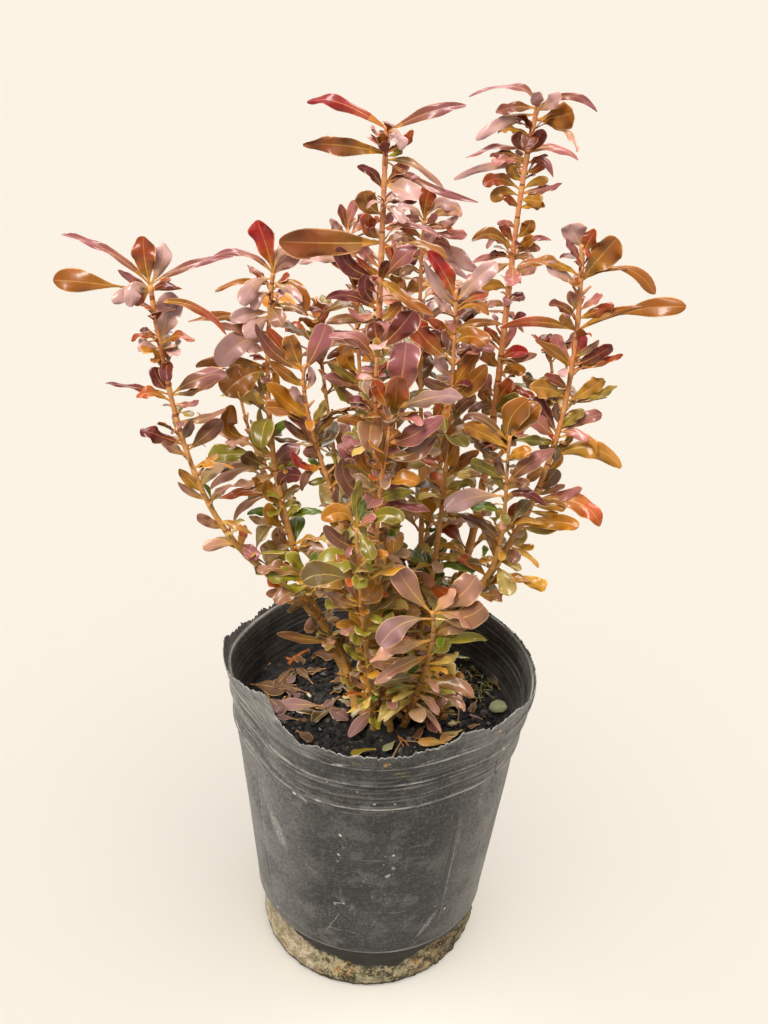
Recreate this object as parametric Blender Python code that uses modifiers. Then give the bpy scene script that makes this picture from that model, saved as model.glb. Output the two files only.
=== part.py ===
"""A young potted coprosma: a soft black nursery pot with a torn rim, its soil, a clump of thin
woody stems with a few side boughs, and the masses of foliage that are threaded on them.

Metres, +Z up. The origin is the centre of the pot's flat underside, and -Y is the front.
"""

import math
import random

import bmesh
import bpy
from mathutils import Vector

MM = 0.001
GAP = 0.3  # mm left between neighbouring pieces

# ---------------------------------------------------------------- pot, mm
RIM_RADIUS = 70.0
RIM_HEIGHT = 152.5
LEDGE_RADIUS = 55.8
LEDGE_HEIGHT = 24.1
BAND_RADIUS = 54.7
FOOT_RADIUS = 52.4
FOOT_EDGE = 1.6
WALL = 1.2
FLOOR = 1.4
RIBS = ((149.0, 0.8), (140.6, 0.9), (125.2, 0.8))  # height and depth of each ridge
RIB_HALF = 1.4
POT_STEPS = 26
SOFT_MIDDLE = 107.0
SOFT_FROM, SOFT_TO = 90.0, 140.0  # the thin wall is pushed out of round between these heights
DENTS = ((-145, 14, -2.4), (-105, 22, 1.6), (-60, 20, -3.2), (178, 18, 2.8))  # azimuth, half width, depth
# Height of the torn rim round the pot, by azimuth.
RIM_LINE = (
    (-180, 156.0), (-161, 160.0), (-144, 165.0), (-131, 173.0), (-126, 164.5), (-113, 159.5),
    (-92, 159.5), (-73, 159.2), (-59, 165.6), (-47, 162.3), (-28, 161.4), (-13, 156.8),
    (0, 152.3), (31, 151.0), (90, 151.8), (150, 152.6), (170, 154.5), (180, 156.0),
)

# ---------------------------------------------------------------- soil, mm
SOIL_TOP = 122.5
STEM_ZONE = 19.0  # the soil is level this far from the middle of the clump

# ---------------------------------------------------------------- limbs, mm
# A stem goes from the soil to its tip on one smooth curve:
# foot (x, y), tip (x, y, z), how it sets off, how it arrives, radius at the foot and at the tip.
STEMS = {
    "stem_far_left": ((-10.8, 2.6), (-100.2, 0.0, 329.3), (-63, 8, 310), (-56, 21, 508), 2.5, 1.3),
    "stem_left": ((-9.1, 9.4), (-55.6, 30.0, 326.1), (-120, 21, 215), (20, 4, 227), 2.3, 1.2),
    "stem_left_inner": ((-4.3, -1.6), (-37.7, -16.0, 306.9), (10, -14, 235), (18, -9, 80), 2.0, 1.1),
    "stem_centre_left": ((-1.3, 8.9), (-27.0, 52.0, 338.9), (-32, 43, 216), (-37, 7, 222), 2.1, 1.1),
    "stem_centre": ((2.0, 3.0), (-11.6, 6.0, 395.1), (-34, 1, 245), (-2, 1, 270), 2.4, 1.3),
    "stem_centre_right": ((5.3, 8.9), (4.8, 40.0, 348.8), (59, 31, 226), (4, 5, 226), 2.1, 1.1),
    "stem_right_inner": ((8.6, 3.4), (18.5, -4.0, 336.9), (43, -7, 214), (-11, -1, 215), 2.1, 1.1),
    "stem_front": ((2.6, -4.0), (-9.5, -34.0, 324.3), (39, -26, 202), (8, -5, 201), 2.1, 1.1),
    "stem_front_low": ((5.6, -10.2), (-1.6, -44.0, 306.0), (-20, -26, 183), (30, -6, 187), 2.0, 1.1),
    "stem_tall_right": ((12.5, 10.3), (45.4, 36.0, 398.4), (123, 26, 279), (31, 2, 215), 2.5, 1.3),
    "stem_far_right": ((15.2, 2.6), (64.2, -3.0, 357.9), (50, -4, 264), (-42, 7, 395), 2.5, 1.3),
    "stem_rosette_right": ((11.4, -7.2), (18.2, -50.0, 218.5), (16, -43, 98), (-13, -11, 45), 2.1, 1.2),
    "stem_whorl": ((-2.0, -9.6), (-13.5, -54.0, 258.0), (-8, -52, 136), (-9, -6, 141), 1.9, 1.1),
    "stem_back_left": ((-4.6, 14.6), (-41.9, 82.0, 294.8), (-36, 68, 172), (-22, 10, 186), 2.1, 1.1),
    "stem_back": ((1.6, 16.0), (-7.3, 88.0, 310.3), (-7, 72, 187), (-19, 11, 199), 2.1, 1.1),
    "stem_back_right": ((7.9, 14.8), (29.4, 82.0, 300.7), (20, 68, 178), (17, 10, 189), 2.1, 1.1),
}
# A bough leaves a stem: its parent, how far along the parent it starts, and the rest as above.
BOUGHS = {
    "bough_left_rosette": ("stem_far_left", 0.28, (-34.0, -20.0, 210.6), (2, -22, 32), (-2, -3, 38), 1.6, 1.1),
    "bough_right_low": ("stem_far_right", 0.34, (43.8, -22.0, 285.1), (38, -23, 90), (0, -3, 93), 1.6, 1.0),
    "bough_back_far_left": ("stem_left", 0.39, (-74.6, 62.0, 265.5), (-31, 43, 63), (-2, 6, 80), 1.6, 1.0),
    "bough_back_far_right": ("stem_tall_right", 0.42, (64.9, 66.0, 283.6), (47, 42, 38), (-30, 6, 61), 1.6, 1.0),
}
LIMB_POINTS = 7
FLARE = 0.45  # extra radius at the soil, as a fraction
FLARE_HEIGHT = 5.0

# ---------------------------------------------------------------- foliage, mm
# Each mass is threaded on a limb: how far along it, radius, half height, azimuth of its first
# pair of leaves, reach of its pairs, and the furthest single leaves as (azimuth, rise, reach).
MASSES = {
    "foliage_far_left_top": ("stem_far_left", 0.995, 14, 11, 90, 19,
                             ((180, 28, 37), (-174, 0, 37), (126, 78, 20), (8, 26, 32), (-55, -39, 22))),
    "foliage_far_left_upper": ("stem_far_left", 0.935, 12, 12, 0, 17, ((180, -34, 28), (9, -18, 27))),
    "foliage_far_left_middle": ("stem_far_left", 0.80, 14, 18, 90, 20, ((180, 25, 22), (0, 35, 25))),
    "foliage_far_left_lower": ("stem_far_left", 0.58, 13, 17, 0, 18, ((23, 50, 24), (-43, -32, 18))),
    "foliage_left_top": ("stem_left", 0.98, 13, 12, 90, 18, ((-161, 77, 28), (180, 29, 26), (5, 23, 27), (-27, -29, 20))),
    "foliage_left_upper": ("stem_left", 0.82, 15, 17, 0, 21, ((180, 13, 24),)),
    "foliage_left_lower": ("stem_left", 0.57, 15, 18, 90, 20, ((0, 32, 22),)),
    "foliage_left_inner_top": ("stem_left_inner", 0.95, 12, 14, 90, 16, ((180, 43, 17), (-20, 58, 22))),
    "foliage_left_inner_lower": ("stem_left_inner", 0.62, 13, 19, 0, 17, ()),
    "foliage_centre_left_top": ("stem_centre_left", 0.93, 13, 17, 90, 17, ((180, 75, 26), (180, -50, 24))),
    "foliage_centre_top": ("stem_centre", 0.975, 9, 10, 90, 15,
                           ((-174, 22, 32), (6, 23, 32), (176, -7, 31), (7, -32, 40))),
    "foliage_centre_upper": ("stem_centre", 0.82, 13, 17, 90, 18, ((-176, 3, 39), (7, -5, 27), (160, 50, 18))),
    "foliage_centre_middle": ("stem_centre", 0.62, 15, 19, 0, 20, ()),
    "foliage_centre_lower": ("stem_centre", 0.38, 15, 20, 90, 19, ()),
    "foliage_centre_right_top": ("stem_centre_right", 0.985, 12, 12, 90, 18, ((0, 72, 19), (0, -1, 22))),
    "foliage_centre_right_middle": ("stem_centre_right", 0.78, 14, 20, 0, 19, ()),
    "foliage_right_inner_top": ("stem_right_inner", 0.98, 12, 12, 90, 17, ((-166, 56, 23), (0, 47, 22), (167, 26, 24))),
    "foliage_right_inner_middle": ("stem_right_inner", 0.73, 15, 20, 0, 20, ()),
    "foliage_front_top": ("stem_front", 0.97, 12, 16, 90, 17, ((-14, 56, 22), (180, 5, 20))),
    "foliage_front_low_top": ("stem_front_low", 0.975, 13, 17, 90, 18, ((-72, 75, 30), (-5, 24, 27), (180, 30, 23))),
    "foliage_tall_right_top": ("stem_tall_right", 0.985, 11, 10, 90, 18,
                               ((-176, 13, 27), (7, 9, 24), (-167, -20, 24), (0, -36, 21))),
    "foliage_tall_right_upper": ("stem_tall_right", 0.885, 12, 12, 0, 18, ((180, -5, 27), (0, 24, 22))),
    "foliage_tall_right_middle": ("stem_tall_right", 0.76, 13, 16, 90, 17, ()),
    "foliage_tall_right_lower": ("stem_tall_right", 0.60, 14, 19, 0, 19, ((180, 39, 21),)),
    "foliage_far_right_top": ("stem_far_right", 0.985, 12, 12, 90, 18,
                              ((180, 56, 17), (-21, 39, 19), (0, -15, 31), (-177, -4, 25))),
    "foliage_far_right_upper": ("stem_far_right", 0.90, 12, 11, 0, 18, ((-3, 15, 41), (173, -6, 33))),
    "foliage_far_right_middle": ("stem_far_right", 0.755, 14, 18, 90, 19, ((-6, -27, 31), (11, 36, 27))),
    "foliage_far_right_lower": ("stem_far_right", 0.59, 14, 16, 0, 19, ((0, 5, 28), (0, -26, 24), (-10, -62, 36))),
    "foliage_right_low": ("bough_right_low", 0.80, 13, 19, 90, 18, ((0, 43, 21),)),
    "foliage_rosette_right": ("stem_rosette_right", 0.86, 15, 16, 90, 20,
                              ((-167, 52, 31), (0, 42, 25), (0, -55, 38), (-95, -72, 46))),
    "foliage_rosette_left": ("bough_left_rosette", 0.80, 13, 12, 90, 17, ((180, -12, 20),)),
    "foliage_whorl": ("stem_whorl", 0.93, 15, 19, 0, 19, ()),
    "foliage_back_left": ("stem_back_left", 0.84, 17, 26, 90, 23, ()),
    "foliage_back": ("stem_back", 0.84, 17, 28, 0, 23, ()),
    "foliage_back_right": ("stem_back_right", 0.84, 17, 26, 90, 23, ()),
    "foliage_back_far_left": ("bough_back_far_left", 0.86, 15, 22, 0, 20, ()),
    "foliage_back_far_right": ("bough_back_far_right", 0.86, 15, 22, 90, 20, ()),
}
MASS_SEGMENTS = 11
MASS_RINGS = 6
LOBE_WIDTH = 24.0  # degrees over which a lobe falls away
UNEVENNESS = 0.09
POT_CLEARANCE = 3.0


def clear_scene():
    for obj in list(bpy.data.objects):
        bpy.data.objects.remove(obj, do_unlink=True)


def new_collection(name):
    collection = bpy.data.collections.new(name)
    bpy.context.scene.collection.children.link(collection)
    return collection


def material(name, colour, roughness):
    mat = bpy.data.materials.new(name)
    mat.use_nodes = True
    shader = mat.node_tree.nodes["Principled BSDF"]
    shader.inputs["Base Color"].default_value = (*colour, 1.0)
    shader.inputs["Roughness"].default_value = roughness
    shader.inputs["Metallic"].default_value = 0.0
    return mat


def smooth_step(low, high, value):
    t = min(1.0, max(0.0, (value - low) / (high - low)))
    return t * t * (3 - 2 * t)


def turn_between(a, b):
    """Signed difference of two azimuths in degrees."""
    return (a - b + 180.0) % 360.0 - 180.0


def wall_radius(height):
    """Outer radius of the pot's plain taper."""
    return LEDGE_RADIUS + (RIM_RADIUS - LEDGE_RADIUS) * (height - LEDGE_HEIGHT) / (RIM_HEIGHT - LEDGE_HEIGHT)


def out_of_round(azimuth, height):
    """How far the soft wall stands out of its circle, in mm."""
    push = sum(depth * math.exp(-((turn_between(azimuth, centre) / half) ** 2)) for centre, half, depth in DENTS)
    return push * smooth_step(SOFT_FROM, SOFT_TO, height)


def rim_height(azimuth):
    for (a0, h0), (a1, h1) in zip(RIM_LINE, RIM_LINE[1:]):
        if a0 <= azimuth <= a1:
            return h0 + (h1 - h0) * (azimuth - a0) / (a1 - a0)
    return RIM_LINE[0][1]


def turned(name, profile, steps):
    """A profile of (radius, height) in mm turned round Z and evaluated to a plain mesh."""
    mesh = bpy.data.meshes.new(name)
    points = [(radius * MM, 0.0, height * MM) for radius, height in profile]
    mesh.from_pydata(points, [(i, i + 1) for i in range(len(points) - 1)], [])
    obj = bpy.data.objects.new(name, mesh)
    bpy.context.scene.collection.objects.link(obj)
    screw = obj.modifiers.new("Turn", "SCREW")
    screw.axis = "Z"
    screw.angle = 2 * math.pi
    screw.steps = screw.render_steps = steps
    screw.use_merge_vertices = True
    screw.merge_threshold = 0.00005
    return settle(obj)


def settle(obj):
    """Replace an object by the plain mesh it evaluates to."""
    bpy.context.view_layer.update()
    graph = bpy.context.evaluated_depsgraph_get()
    mesh = bpy.data.meshes.new_from_object(obj.evaluated_get(graph))
    mesh.transform(obj.matrix_world)
    name = obj.name
    bpy.data.objects.remove(obj, do_unlink=True)
    mesh.name = name
    done = bpy.data.objects.new(name, mesh)
    return done


def shade(obj, mat, smooth=True):
    obj.data.materials.clear()
    obj.data.materials.append(mat)
    if smooth:
        obj.data.shade_smooth()
        obj.data.set_sharp_from_angle(angle=math.radians(40))


def push_wall(mesh):
    """Press the soft upper wall out of round, the same way on the pot and on the soil in it."""
    for vertex in mesh.vertices:
        radius = math.hypot(vertex.co.x, vertex.co.y)
        if radius < 0.04:
            continue
        azimuth = math.degrees(math.atan2(vertex.co.y, vertex.co.x))
        grown = (radius + out_of_round(azimuth, vertex.co.z / MM) * MM) / radius
        vertex.co.x *= grown
        vertex.co.y *= grown


def make_pot():
    outer = [(wall_radius(RIM_HEIGHT), RIM_HEIGHT)]
    for height, depth in RIBS:
        outer += [
            (wall_radius(height + RIB_HALF), height + RIB_HALF),
            (wall_radius(height) + depth, height),
            (wall_radius(height - RIB_HALF), height - RIB_HALF),
        ]
    outer += [
        (wall_radius(SOFT_FROM), SOFT_FROM),
        (LEDGE_RADIUS, LEDGE_HEIGHT),
        (BAND_RADIUS, LEDGE_HEIGHT - 1.0),
        (FOOT_RADIUS, FOOT_EDGE),
        (FOOT_RADIUS - FOOT_EDGE, 0.0),
        (0.0, 0.0),
    ]
    inner = [
        (0.0, FLOOR),
        (inner_radius(FLOOR), FLOOR),
        (inner_radius(SOFT_FROM), SOFT_FROM),
        (inner_radius(SOFT_MIDDLE), SOFT_MIDDLE),
        (inner_radius(SOIL_TOP), SOIL_TOP),
        (inner_radius(RIM_HEIGHT), RIM_HEIGHT),
    ]
    pot = turned("pot", inner + outer, POT_STEPS)
    push_wall(pot.data)
    top_rib = RIBS[0][0] + RIB_HALF
    for vertex in pot.data.vertices:
        height = vertex.co.z / MM
        if height < top_rib + 0.1:
            continue
        azimuth = math.degrees(math.atan2(vertex.co.y, vertex.co.x))
        radius = math.hypot(vertex.co.x, vertex.co.y) / MM
        raised = rim_height(azimuth)
        grown = (radius + (wall_radius(raised) - wall_radius(height))) / radius
        vertex.co.x *= grown
        vertex.co.y *= grown
        vertex.co.z = raised * MM
    return pot


def inner_radius(height):
    """Inside of the wall, parallel to the outer taper and clear of the ledge's step."""
    return min(wall_radius(height), BAND_RADIUS + (wall_radius(height) - wall_radius(LEDGE_HEIGHT))) - WALL


def make_soil():
    side = GAP + 0.3
    profile = [(0.0, SOIL_TOP), (STEM_ZONE, SOIL_TOP), (inner_radius(SOIL_TOP) - side - 12.0, SOIL_TOP)]
    profile += [
        (inner_radius(SOIL_TOP) - side, SOIL_TOP),
        (inner_radius(SOFT_MIDDLE) - side, SOFT_MIDDLE),
        (inner_radius(SOFT_FROM) - side, SOFT_FROM),
        (inner_radius(FLOOR) - side, FLOOR + GAP),
        (0.0, FLOOR + GAP),
    ]
    soil = turned("soil", profile, POT_STEPS)
    push_wall(soil.data)
    rule = random.Random(41)
    for vertex in sorted(soil.data.vertices, key=lambda v: (round(v.co.x, 6), round(v.co.y, 6), round(v.co.z, 6))):
        out = math.hypot(vertex.co.x, vertex.co.y) / MM
        if vertex.co.z / MM > SOIL_TOP - 0.1 and STEM_ZONE + 6.0 < out < inner_radius(SOIL_TOP) - 6.0:
            vertex.co.z += rule.uniform(-0.5, 2.2) * MM
    return soil


def hermite(start, off, end, arrive, t):
    t2, t3 = t * t, t * t * t
    return (
        start * (2 * t3 - 3 * t2 + 1)
        + off * (t3 - 2 * t2 + t)
        + end * (3 * t2 - 2 * t3)
        + arrive * (t3 - t2)
    )


class Limb:
    """One tapering limb: its curve, its radius along it, and whether it stands on the soil."""

    def __init__(self, name, start, off, end, arrive, thick, thin, rooted):
        self.name = name
        self.start, self.off, self.end, self.arrive = start, off, end, arrive
        self.thick, self.thin, self.rooted = thick, thin, rooted

    def at(self, t):
        if t < 0.0:
            return self.start + self.off.normalized() * (t * 100.0)
        if t > 1.0:
            return self.end + self.arrive.normalized() * ((t - 1.0) * 100.0)
        return hermite(self.start, self.off, self.end, self.arrive, t)

    def radius(self, t):
        clipped = min(1.0, max(0.0, t))
        plain = self.thick + (self.thin - self.thick) * clipped**0.8
        if not self.rooted:
            return plain
        climbed = max(0.0, self.at(clipped).z - self.start.z)
        return plain * (1.0 + FLARE * math.exp(-climbed / FLARE_HEIGHT))


def limb_list():
    limbs = {}
    for name, (foot, tip, off, arrive, thick, thin) in STEMS.items():
        start = Vector((foot[0], foot[1], SOIL_TOP + GAP))
        limbs[name] = Limb(name, start, Vector(off), Vector(tip), Vector(arrive), thick, thin, True)
    for name, (parent, along, tip, off, arrive, thick, thin) in BOUGHS.items():
        start = limbs[parent].at(along)
        limbs[name] = Limb(name, start, Vector(off), Vector(tip), Vector(arrive), thick, thin, False)
    return limbs


def limb_steps(limb):
    """Places along a limb, closer together low down where it bends and flares."""
    steps = [i / (LIMB_POINTS - 1) for i in range(LIMB_POINTS)]
    if limb.rooted:
        steps = [-0.07, 0.0, 0.035] + [0.035 + (1.0 - 0.035) * s for s in steps[1:]]
    return steps


def limb_mesh(name, limb, steps, extra):
    """A limb swept along its curve with filled caps, as a welded mesh."""
    curve = bpy.data.curves.new(name, "CURVE")
    curve.dimensions = "3D"
    curve.bevel_depth = MM
    curve.bevel_resolution = 1
    curve.use_fill_caps = True
    spline = curve.splines.new("POLY")
    spline.points.add(len(steps) - 1)
    for point, step in zip(spline.points, steps):
        place = limb.at(step) * MM
        point.co = (place.x, place.y, place.z, 1.0)
        point.radius = limb.radius(step) + extra
    obj = bpy.data.objects.new(name, curve)
    bpy.context.scene.collection.objects.link(obj)
    done = settle(obj)
    bm = bmesh.new()
    bm.from_mesh(done.data)
    bmesh.ops.remove_doubles(bm, verts=bm.verts, dist=0.00001)
    bmesh.ops.recalc_face_normals(bm, faces=bm.faces)
    bm.to_mesh(done.data)
    bm.free()
    return done


def cut_level(obj, height):
    """Cut a limb off flat at a height and close the cut."""
    bm = bmesh.new()
    bm.from_mesh(obj.data)
    bmesh.ops.bisect_plane(
        bm,
        geom=bm.verts[:] + bm.edges[:] + bm.faces[:],
        dist=0.000001,
        plane_co=(0.0, 0.0, height * MM),
        plane_no=(0.0, 0.0, 1.0),
        clear_inner=True,
    )
    rim = [edge for edge in bm.edges if edge.is_boundary]
    bmesh.ops.contextual_create(bm, geom=rim)
    bmesh.ops.recalc_face_normals(bm, faces=bm.faces)
    bm.to_mesh(obj.data)
    bm.free()


def subtract(obj, cutters):
    """Cut an object by others and keep the plain result."""
    for cutter in cutters:
        cut = obj.modifiers.new("Clear_of_" + cutter.name, "BOOLEAN")
        cut.operation = "DIFFERENCE"
        cut.solver = "EXACT"
        cut.object = cutter
    bpy.context.scene.collection.objects.link(obj)
    name = obj.name
    obj.name = name + "_uncut"
    done = settle(obj)
    done.name = done.data.name = name
    return done


def keep_largest(obj):
    """Drop crumbs that a cut has separated from the main body."""
    bm = bmesh.new()
    bm.from_mesh(obj.data)
    bmesh.ops.remove_doubles(bm, verts=bm.verts, dist=0.000002)
    left = set(bm.faces)
    pieces = []
    while left:
        front = [left.pop()]
        piece = list(front)
        while front:
            face = front.pop()
            for edge in face.edges:
                for other in edge.link_faces:
                    if other in left:
                        left.remove(other)
                        piece.append(other)
                        front.append(other)
        pieces.append(piece)
    pieces.sort(key=lambda piece: sum(face.calc_area() for face in piece))
    loose = [face for piece in pieces[:-1] for face in piece]
    if loose:
        bmesh.ops.delete(bm, geom=loose, context="FACES")
    bmesh.ops.recalc_face_normals(bm, faces=bm.faces)
    bm.to_mesh(obj.data)
    bm.free()


def direction(azimuth, rise):
    a, e = math.radians(azimuth), math.radians(rise)
    return Vector((math.cos(a) * math.cos(e), math.sin(a) * math.cos(e), math.sin(e)))


def free_of_pot(place):
    """Whether a point in mm is clear of the soil and of the pot's wall."""
    if place.z < SOIL_TOP + POT_CLEARANCE:
        return False
    return place.z > max(height for _, height in RIM_LINE) + 1.5 or math.hypot(place.x, place.y) < inner_radius(
        SOIL_TOP
    ) - POT_CLEARANCE - max(-depth for _, _, depth in DENTS)


class Mass:
    """One mass of foliage: a lobed body round a node of its limb."""

    def __init__(self, name, limbs, limb, along, radius, half, first, reach, leaves, seed):
        self.name = name
        self.centre = limbs[limb].at(along)
        self.radius, self.half = radius, half
        rule = random.Random(seed)
        self.rule = rule
        self.lobes = [(direction(az, rise), far, True) for az, rise, far in leaves]
        for turn in range(4):
            azimuth = first + 90.0 * turn + rule.uniform(-8, 8)
            rise = rule.uniform(8, 26) if turn % 2 else rule.uniform(-22, -4)
            far = reach * rule.uniform(0.86, 1.08)
            if all(math.degrees(direction(azimuth, rise).angle(lobe)) > 34 for lobe, _, _ in self.lobes):
                self.lobes.append((direction(azimuth, rise), far, False))

    def far(self, way):
        plain = 1.0 / math.sqrt((way.x**2 + way.y**2) / self.radius**2 + way.z**2 / self.half**2)
        best = plain
        for lobe, reach, _ in self.lobes:
            apart = math.degrees(way.angle(lobe))
            best = max(best, plain + (reach - plain) * math.exp(-((apart / LOBE_WIDTH) ** 2)))
        return best


def make_masses(limbs):
    masses = [Mass(name, limbs, *row, seed=700 + i) for i, (name, row) in enumerate(MASSES.items())]
    made = []
    for mass in masses:
        walls = []
        for other in masses:
            if other is mass:
                continue
            span = other.centre - mass.centre
            apart = span.length
            mine = mass.radius + mass.half
            theirs = other.radius + other.half
            walls.append((span.normalized(), apart * mine / (mine + theirs) - GAP * 0.6))
        bm = bmesh.new()
        bmesh.ops.create_uvsphere(bm, u_segments=MASS_SEGMENTS, v_segments=MASS_RINGS, radius=1.0)
        ways = {vertex: vertex.co.normalized() for vertex in bm.verts}
        order = sorted(ways, key=lambda v: (round(ways[v].z, 4), round(math.atan2(ways[v].y, ways[v].x), 4)))
        reach = {}
        for vertex in order:
            reach[vertex] = mass.far(ways[vertex]) * mass.rule.uniform(1 - UNEVENNESS, 1 + UNEVENNESS)
        taken = set()
        for lobe, far, _ in mass.lobes:
            nearest = min((v for v in order if v not in taken), key=lambda v: ways[v].angle(lobe))
            taken.add(nearest)
            ways[nearest] = lobe
            reach[nearest] = far
        for vertex in order:
            way, far = ways[vertex], reach[vertex]
            for normal, limit in walls:
                along = way.dot(normal)
                if along > 0.0001:
                    far = min(far, limit / along)
            step = 0.0
            while step < far and free_of_pot(mass.centre + way * step):
                step += 0.5
            vertex.co = (mass.centre + way * min(far, step)) * MM
        bmesh.ops.triangulate(bm, faces=bm.faces)
        bmesh.ops.recalc_face_normals(bm, faces=bm.faces)
        mesh = bpy.data.meshes.new(mass.name)
        bm.to_mesh(mesh)
        bm.free()
        made.append((mass, bpy.data.objects.new(mass.name, mesh)))
    return made


def near(mesh_object, limb, extra):
    """Whether a limb's curve comes within reach of an object's corners or body."""
    corners = [vertex.co / MM for vertex in mesh_object.data.vertices]
    low = [min(c[i] for c in corners) - extra for i in range(3)]
    high = [max(c[i] for c in corners) + extra for i in range(3)]
    for step in range(101):
        place = limb.at(step / 100)
        if all(low[i] < place[i] < high[i] for i in range(3)):
            return True
    return False


def main():
    clear_scene()
    plant = new_collection("Potted_coprosma")
    tools = new_collection("Cutters")
    plastic = material("pot_plastic", (0.045, 0.045, 0.048), 0.7)
    earth = material("soil_earth", (0.022, 0.018, 0.015), 0.95)
    bark = material("stem_bark", (0.42, 0.20, 0.08), 0.6)
    leaf = material("foliage_leaf", (0.30, 0.11, 0.07), 0.45)

    pot = make_pot()
    shade(pot, plastic)
    plant.objects.link(pot)
    soil = make_soil()
    shade(soil, earth)
    plant.objects.link(soil)

    limbs = limb_list()
    cutters = {}
    for name, limb in limbs.items():
        steps = limb_steps(limb)
        cutter = limb_mesh("clear_" + name, limb, steps[:-1] + [1.0, 1.0 + (GAP + 0.2) / 100.0], GAP + 0.1)
        cutter.hide_render = True
        cutter.display_type = "WIRE"
        tools.objects.link(cutter)
        cutters[name] = cutter
    for name, limb in limbs.items():
        obj = limb_mesh(name, limb, limb_steps(limb), 0.0)
        obj.name = obj.data.name = name
        if limb.rooted:
            cut_level(obj, SOIL_TOP + GAP)
        else:
            obj = subtract(obj, [cutters[BOUGHS[name][0]]])
            keep_largest(obj)
        shade(obj, bark)
        plant.objects.link(obj)

    for mass, obj in make_masses(limbs):
        close = [cutters[name] for name, limb in limbs.items() if near(obj, limb, limb.thick + GAP + 0.1)]
        if close:
            obj = subtract(obj, close)
        keep_largest(obj)
        shade(obj, leaf, smooth=False)
        plant.objects.link(obj)


main()
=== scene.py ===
"""Looks of a young potted coprosma: bark-relief stems, decussate sprays of small glossy leaves in
autumn tints, crumbly soil with leaf litter, and a soft black nursery pot with a torn rim.

All lengths in the tables are millimetres, +Z up, and -Y is the front.
"""

import math
import random

import bpy
import numpy as np
from mathutils import Matrix, Vector


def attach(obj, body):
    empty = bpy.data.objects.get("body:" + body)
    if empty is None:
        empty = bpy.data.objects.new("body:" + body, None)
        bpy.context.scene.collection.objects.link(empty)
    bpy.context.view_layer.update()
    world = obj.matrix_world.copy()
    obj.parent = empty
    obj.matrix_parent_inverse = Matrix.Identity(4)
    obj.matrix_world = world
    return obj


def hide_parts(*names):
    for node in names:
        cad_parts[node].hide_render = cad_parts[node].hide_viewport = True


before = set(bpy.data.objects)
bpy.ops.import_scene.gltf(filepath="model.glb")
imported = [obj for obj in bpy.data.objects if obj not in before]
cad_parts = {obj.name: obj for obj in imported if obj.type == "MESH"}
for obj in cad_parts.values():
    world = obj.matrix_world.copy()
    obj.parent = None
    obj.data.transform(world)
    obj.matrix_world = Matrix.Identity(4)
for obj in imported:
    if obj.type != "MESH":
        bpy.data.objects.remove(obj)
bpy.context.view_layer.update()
MM = 0.001

# ------------------------------------------------------------------ pot and soil
RIM_RADIUS, RIM_HEIGHT = 70.0, 152.5
LEDGE_RADIUS, LEDGE_HEIGHT = 55.8, 24.1
BAND_RADIUS, FOOT_RADIUS = 54.7, 52.4
WALL, FLOOR = 1.2, 1.4
SOIL_TOP = 122.5
DENTS = ((-145, 14, -2.4), (-105, 22, 1.6), (-60, 20, -3.2), (178, 18, 2.8))
RIM_LINE = (
    (-180, 158.0), (-173, 157.6), (-168, 157.0), (-163, 158.4), (-158, 159.7), (-152, 162.0), (-144, 165.3), (-138, 169.0), (-133, 172.4),
    (-130.8, 173.0), (-129.2, 171.0), (-127.6, 165.0), (-122.5, 162.4), (-118.5, 160.6), (-114.5, 158.7), (-112, 159.9), (-105.5, 160.2),
    (-100.2, 159.2), (-88, 159.0), (-79.5, 158.6), (-77.2, 159.0), (-76.8, 161.6), (-76.2, 159.9), (-68, 159.4), (-62, 161.0), (-59.2, 164.4), (-52, 163.0),
    (-44, 160.6), (-38, 162.3), (-30, 161.2), (-22, 158.8), (-13, 156.8), (0, 152.8), (12, 153.6), (31, 151.6), (60, 152.6), (90, 151.8),
    (120, 153.0), (150, 152.6), (170, 155.0), (180, 158.0),
)
RIBS = ((151.0, 0.75, 0.5), (145.0, 0.25, 0.45), (140.3, 0.85, 0.5), (137.4, 0.5, 0.4), (132.0, 0.25, 0.6), (125.4, 0.95, 0.75))
# How far the wall stands in from a straight cone at each height, on the left side and on the right.
SETBACK = (
    (0, 0.5, 0.1), (8, 0.8, -0.1), (16, 1.1, -0.2), (22, 0.9, -0.4), (26, 0.0, 0.0), (34, 0.2, 0.2), (58, 0.3, 0.55), (82, 0.35, 1.1),
    (95, 0.3, 1.3), (107, 0.6, 1.6), (116, 0.8, 2.2), (125, 1.1, 1.7), (135, 1.7, 1.3), (145, 1.7, 0.6), (151, 1.4, 0.0), (156, 0.0, 0.0), (175, 0.0, 0.0),
)


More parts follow.
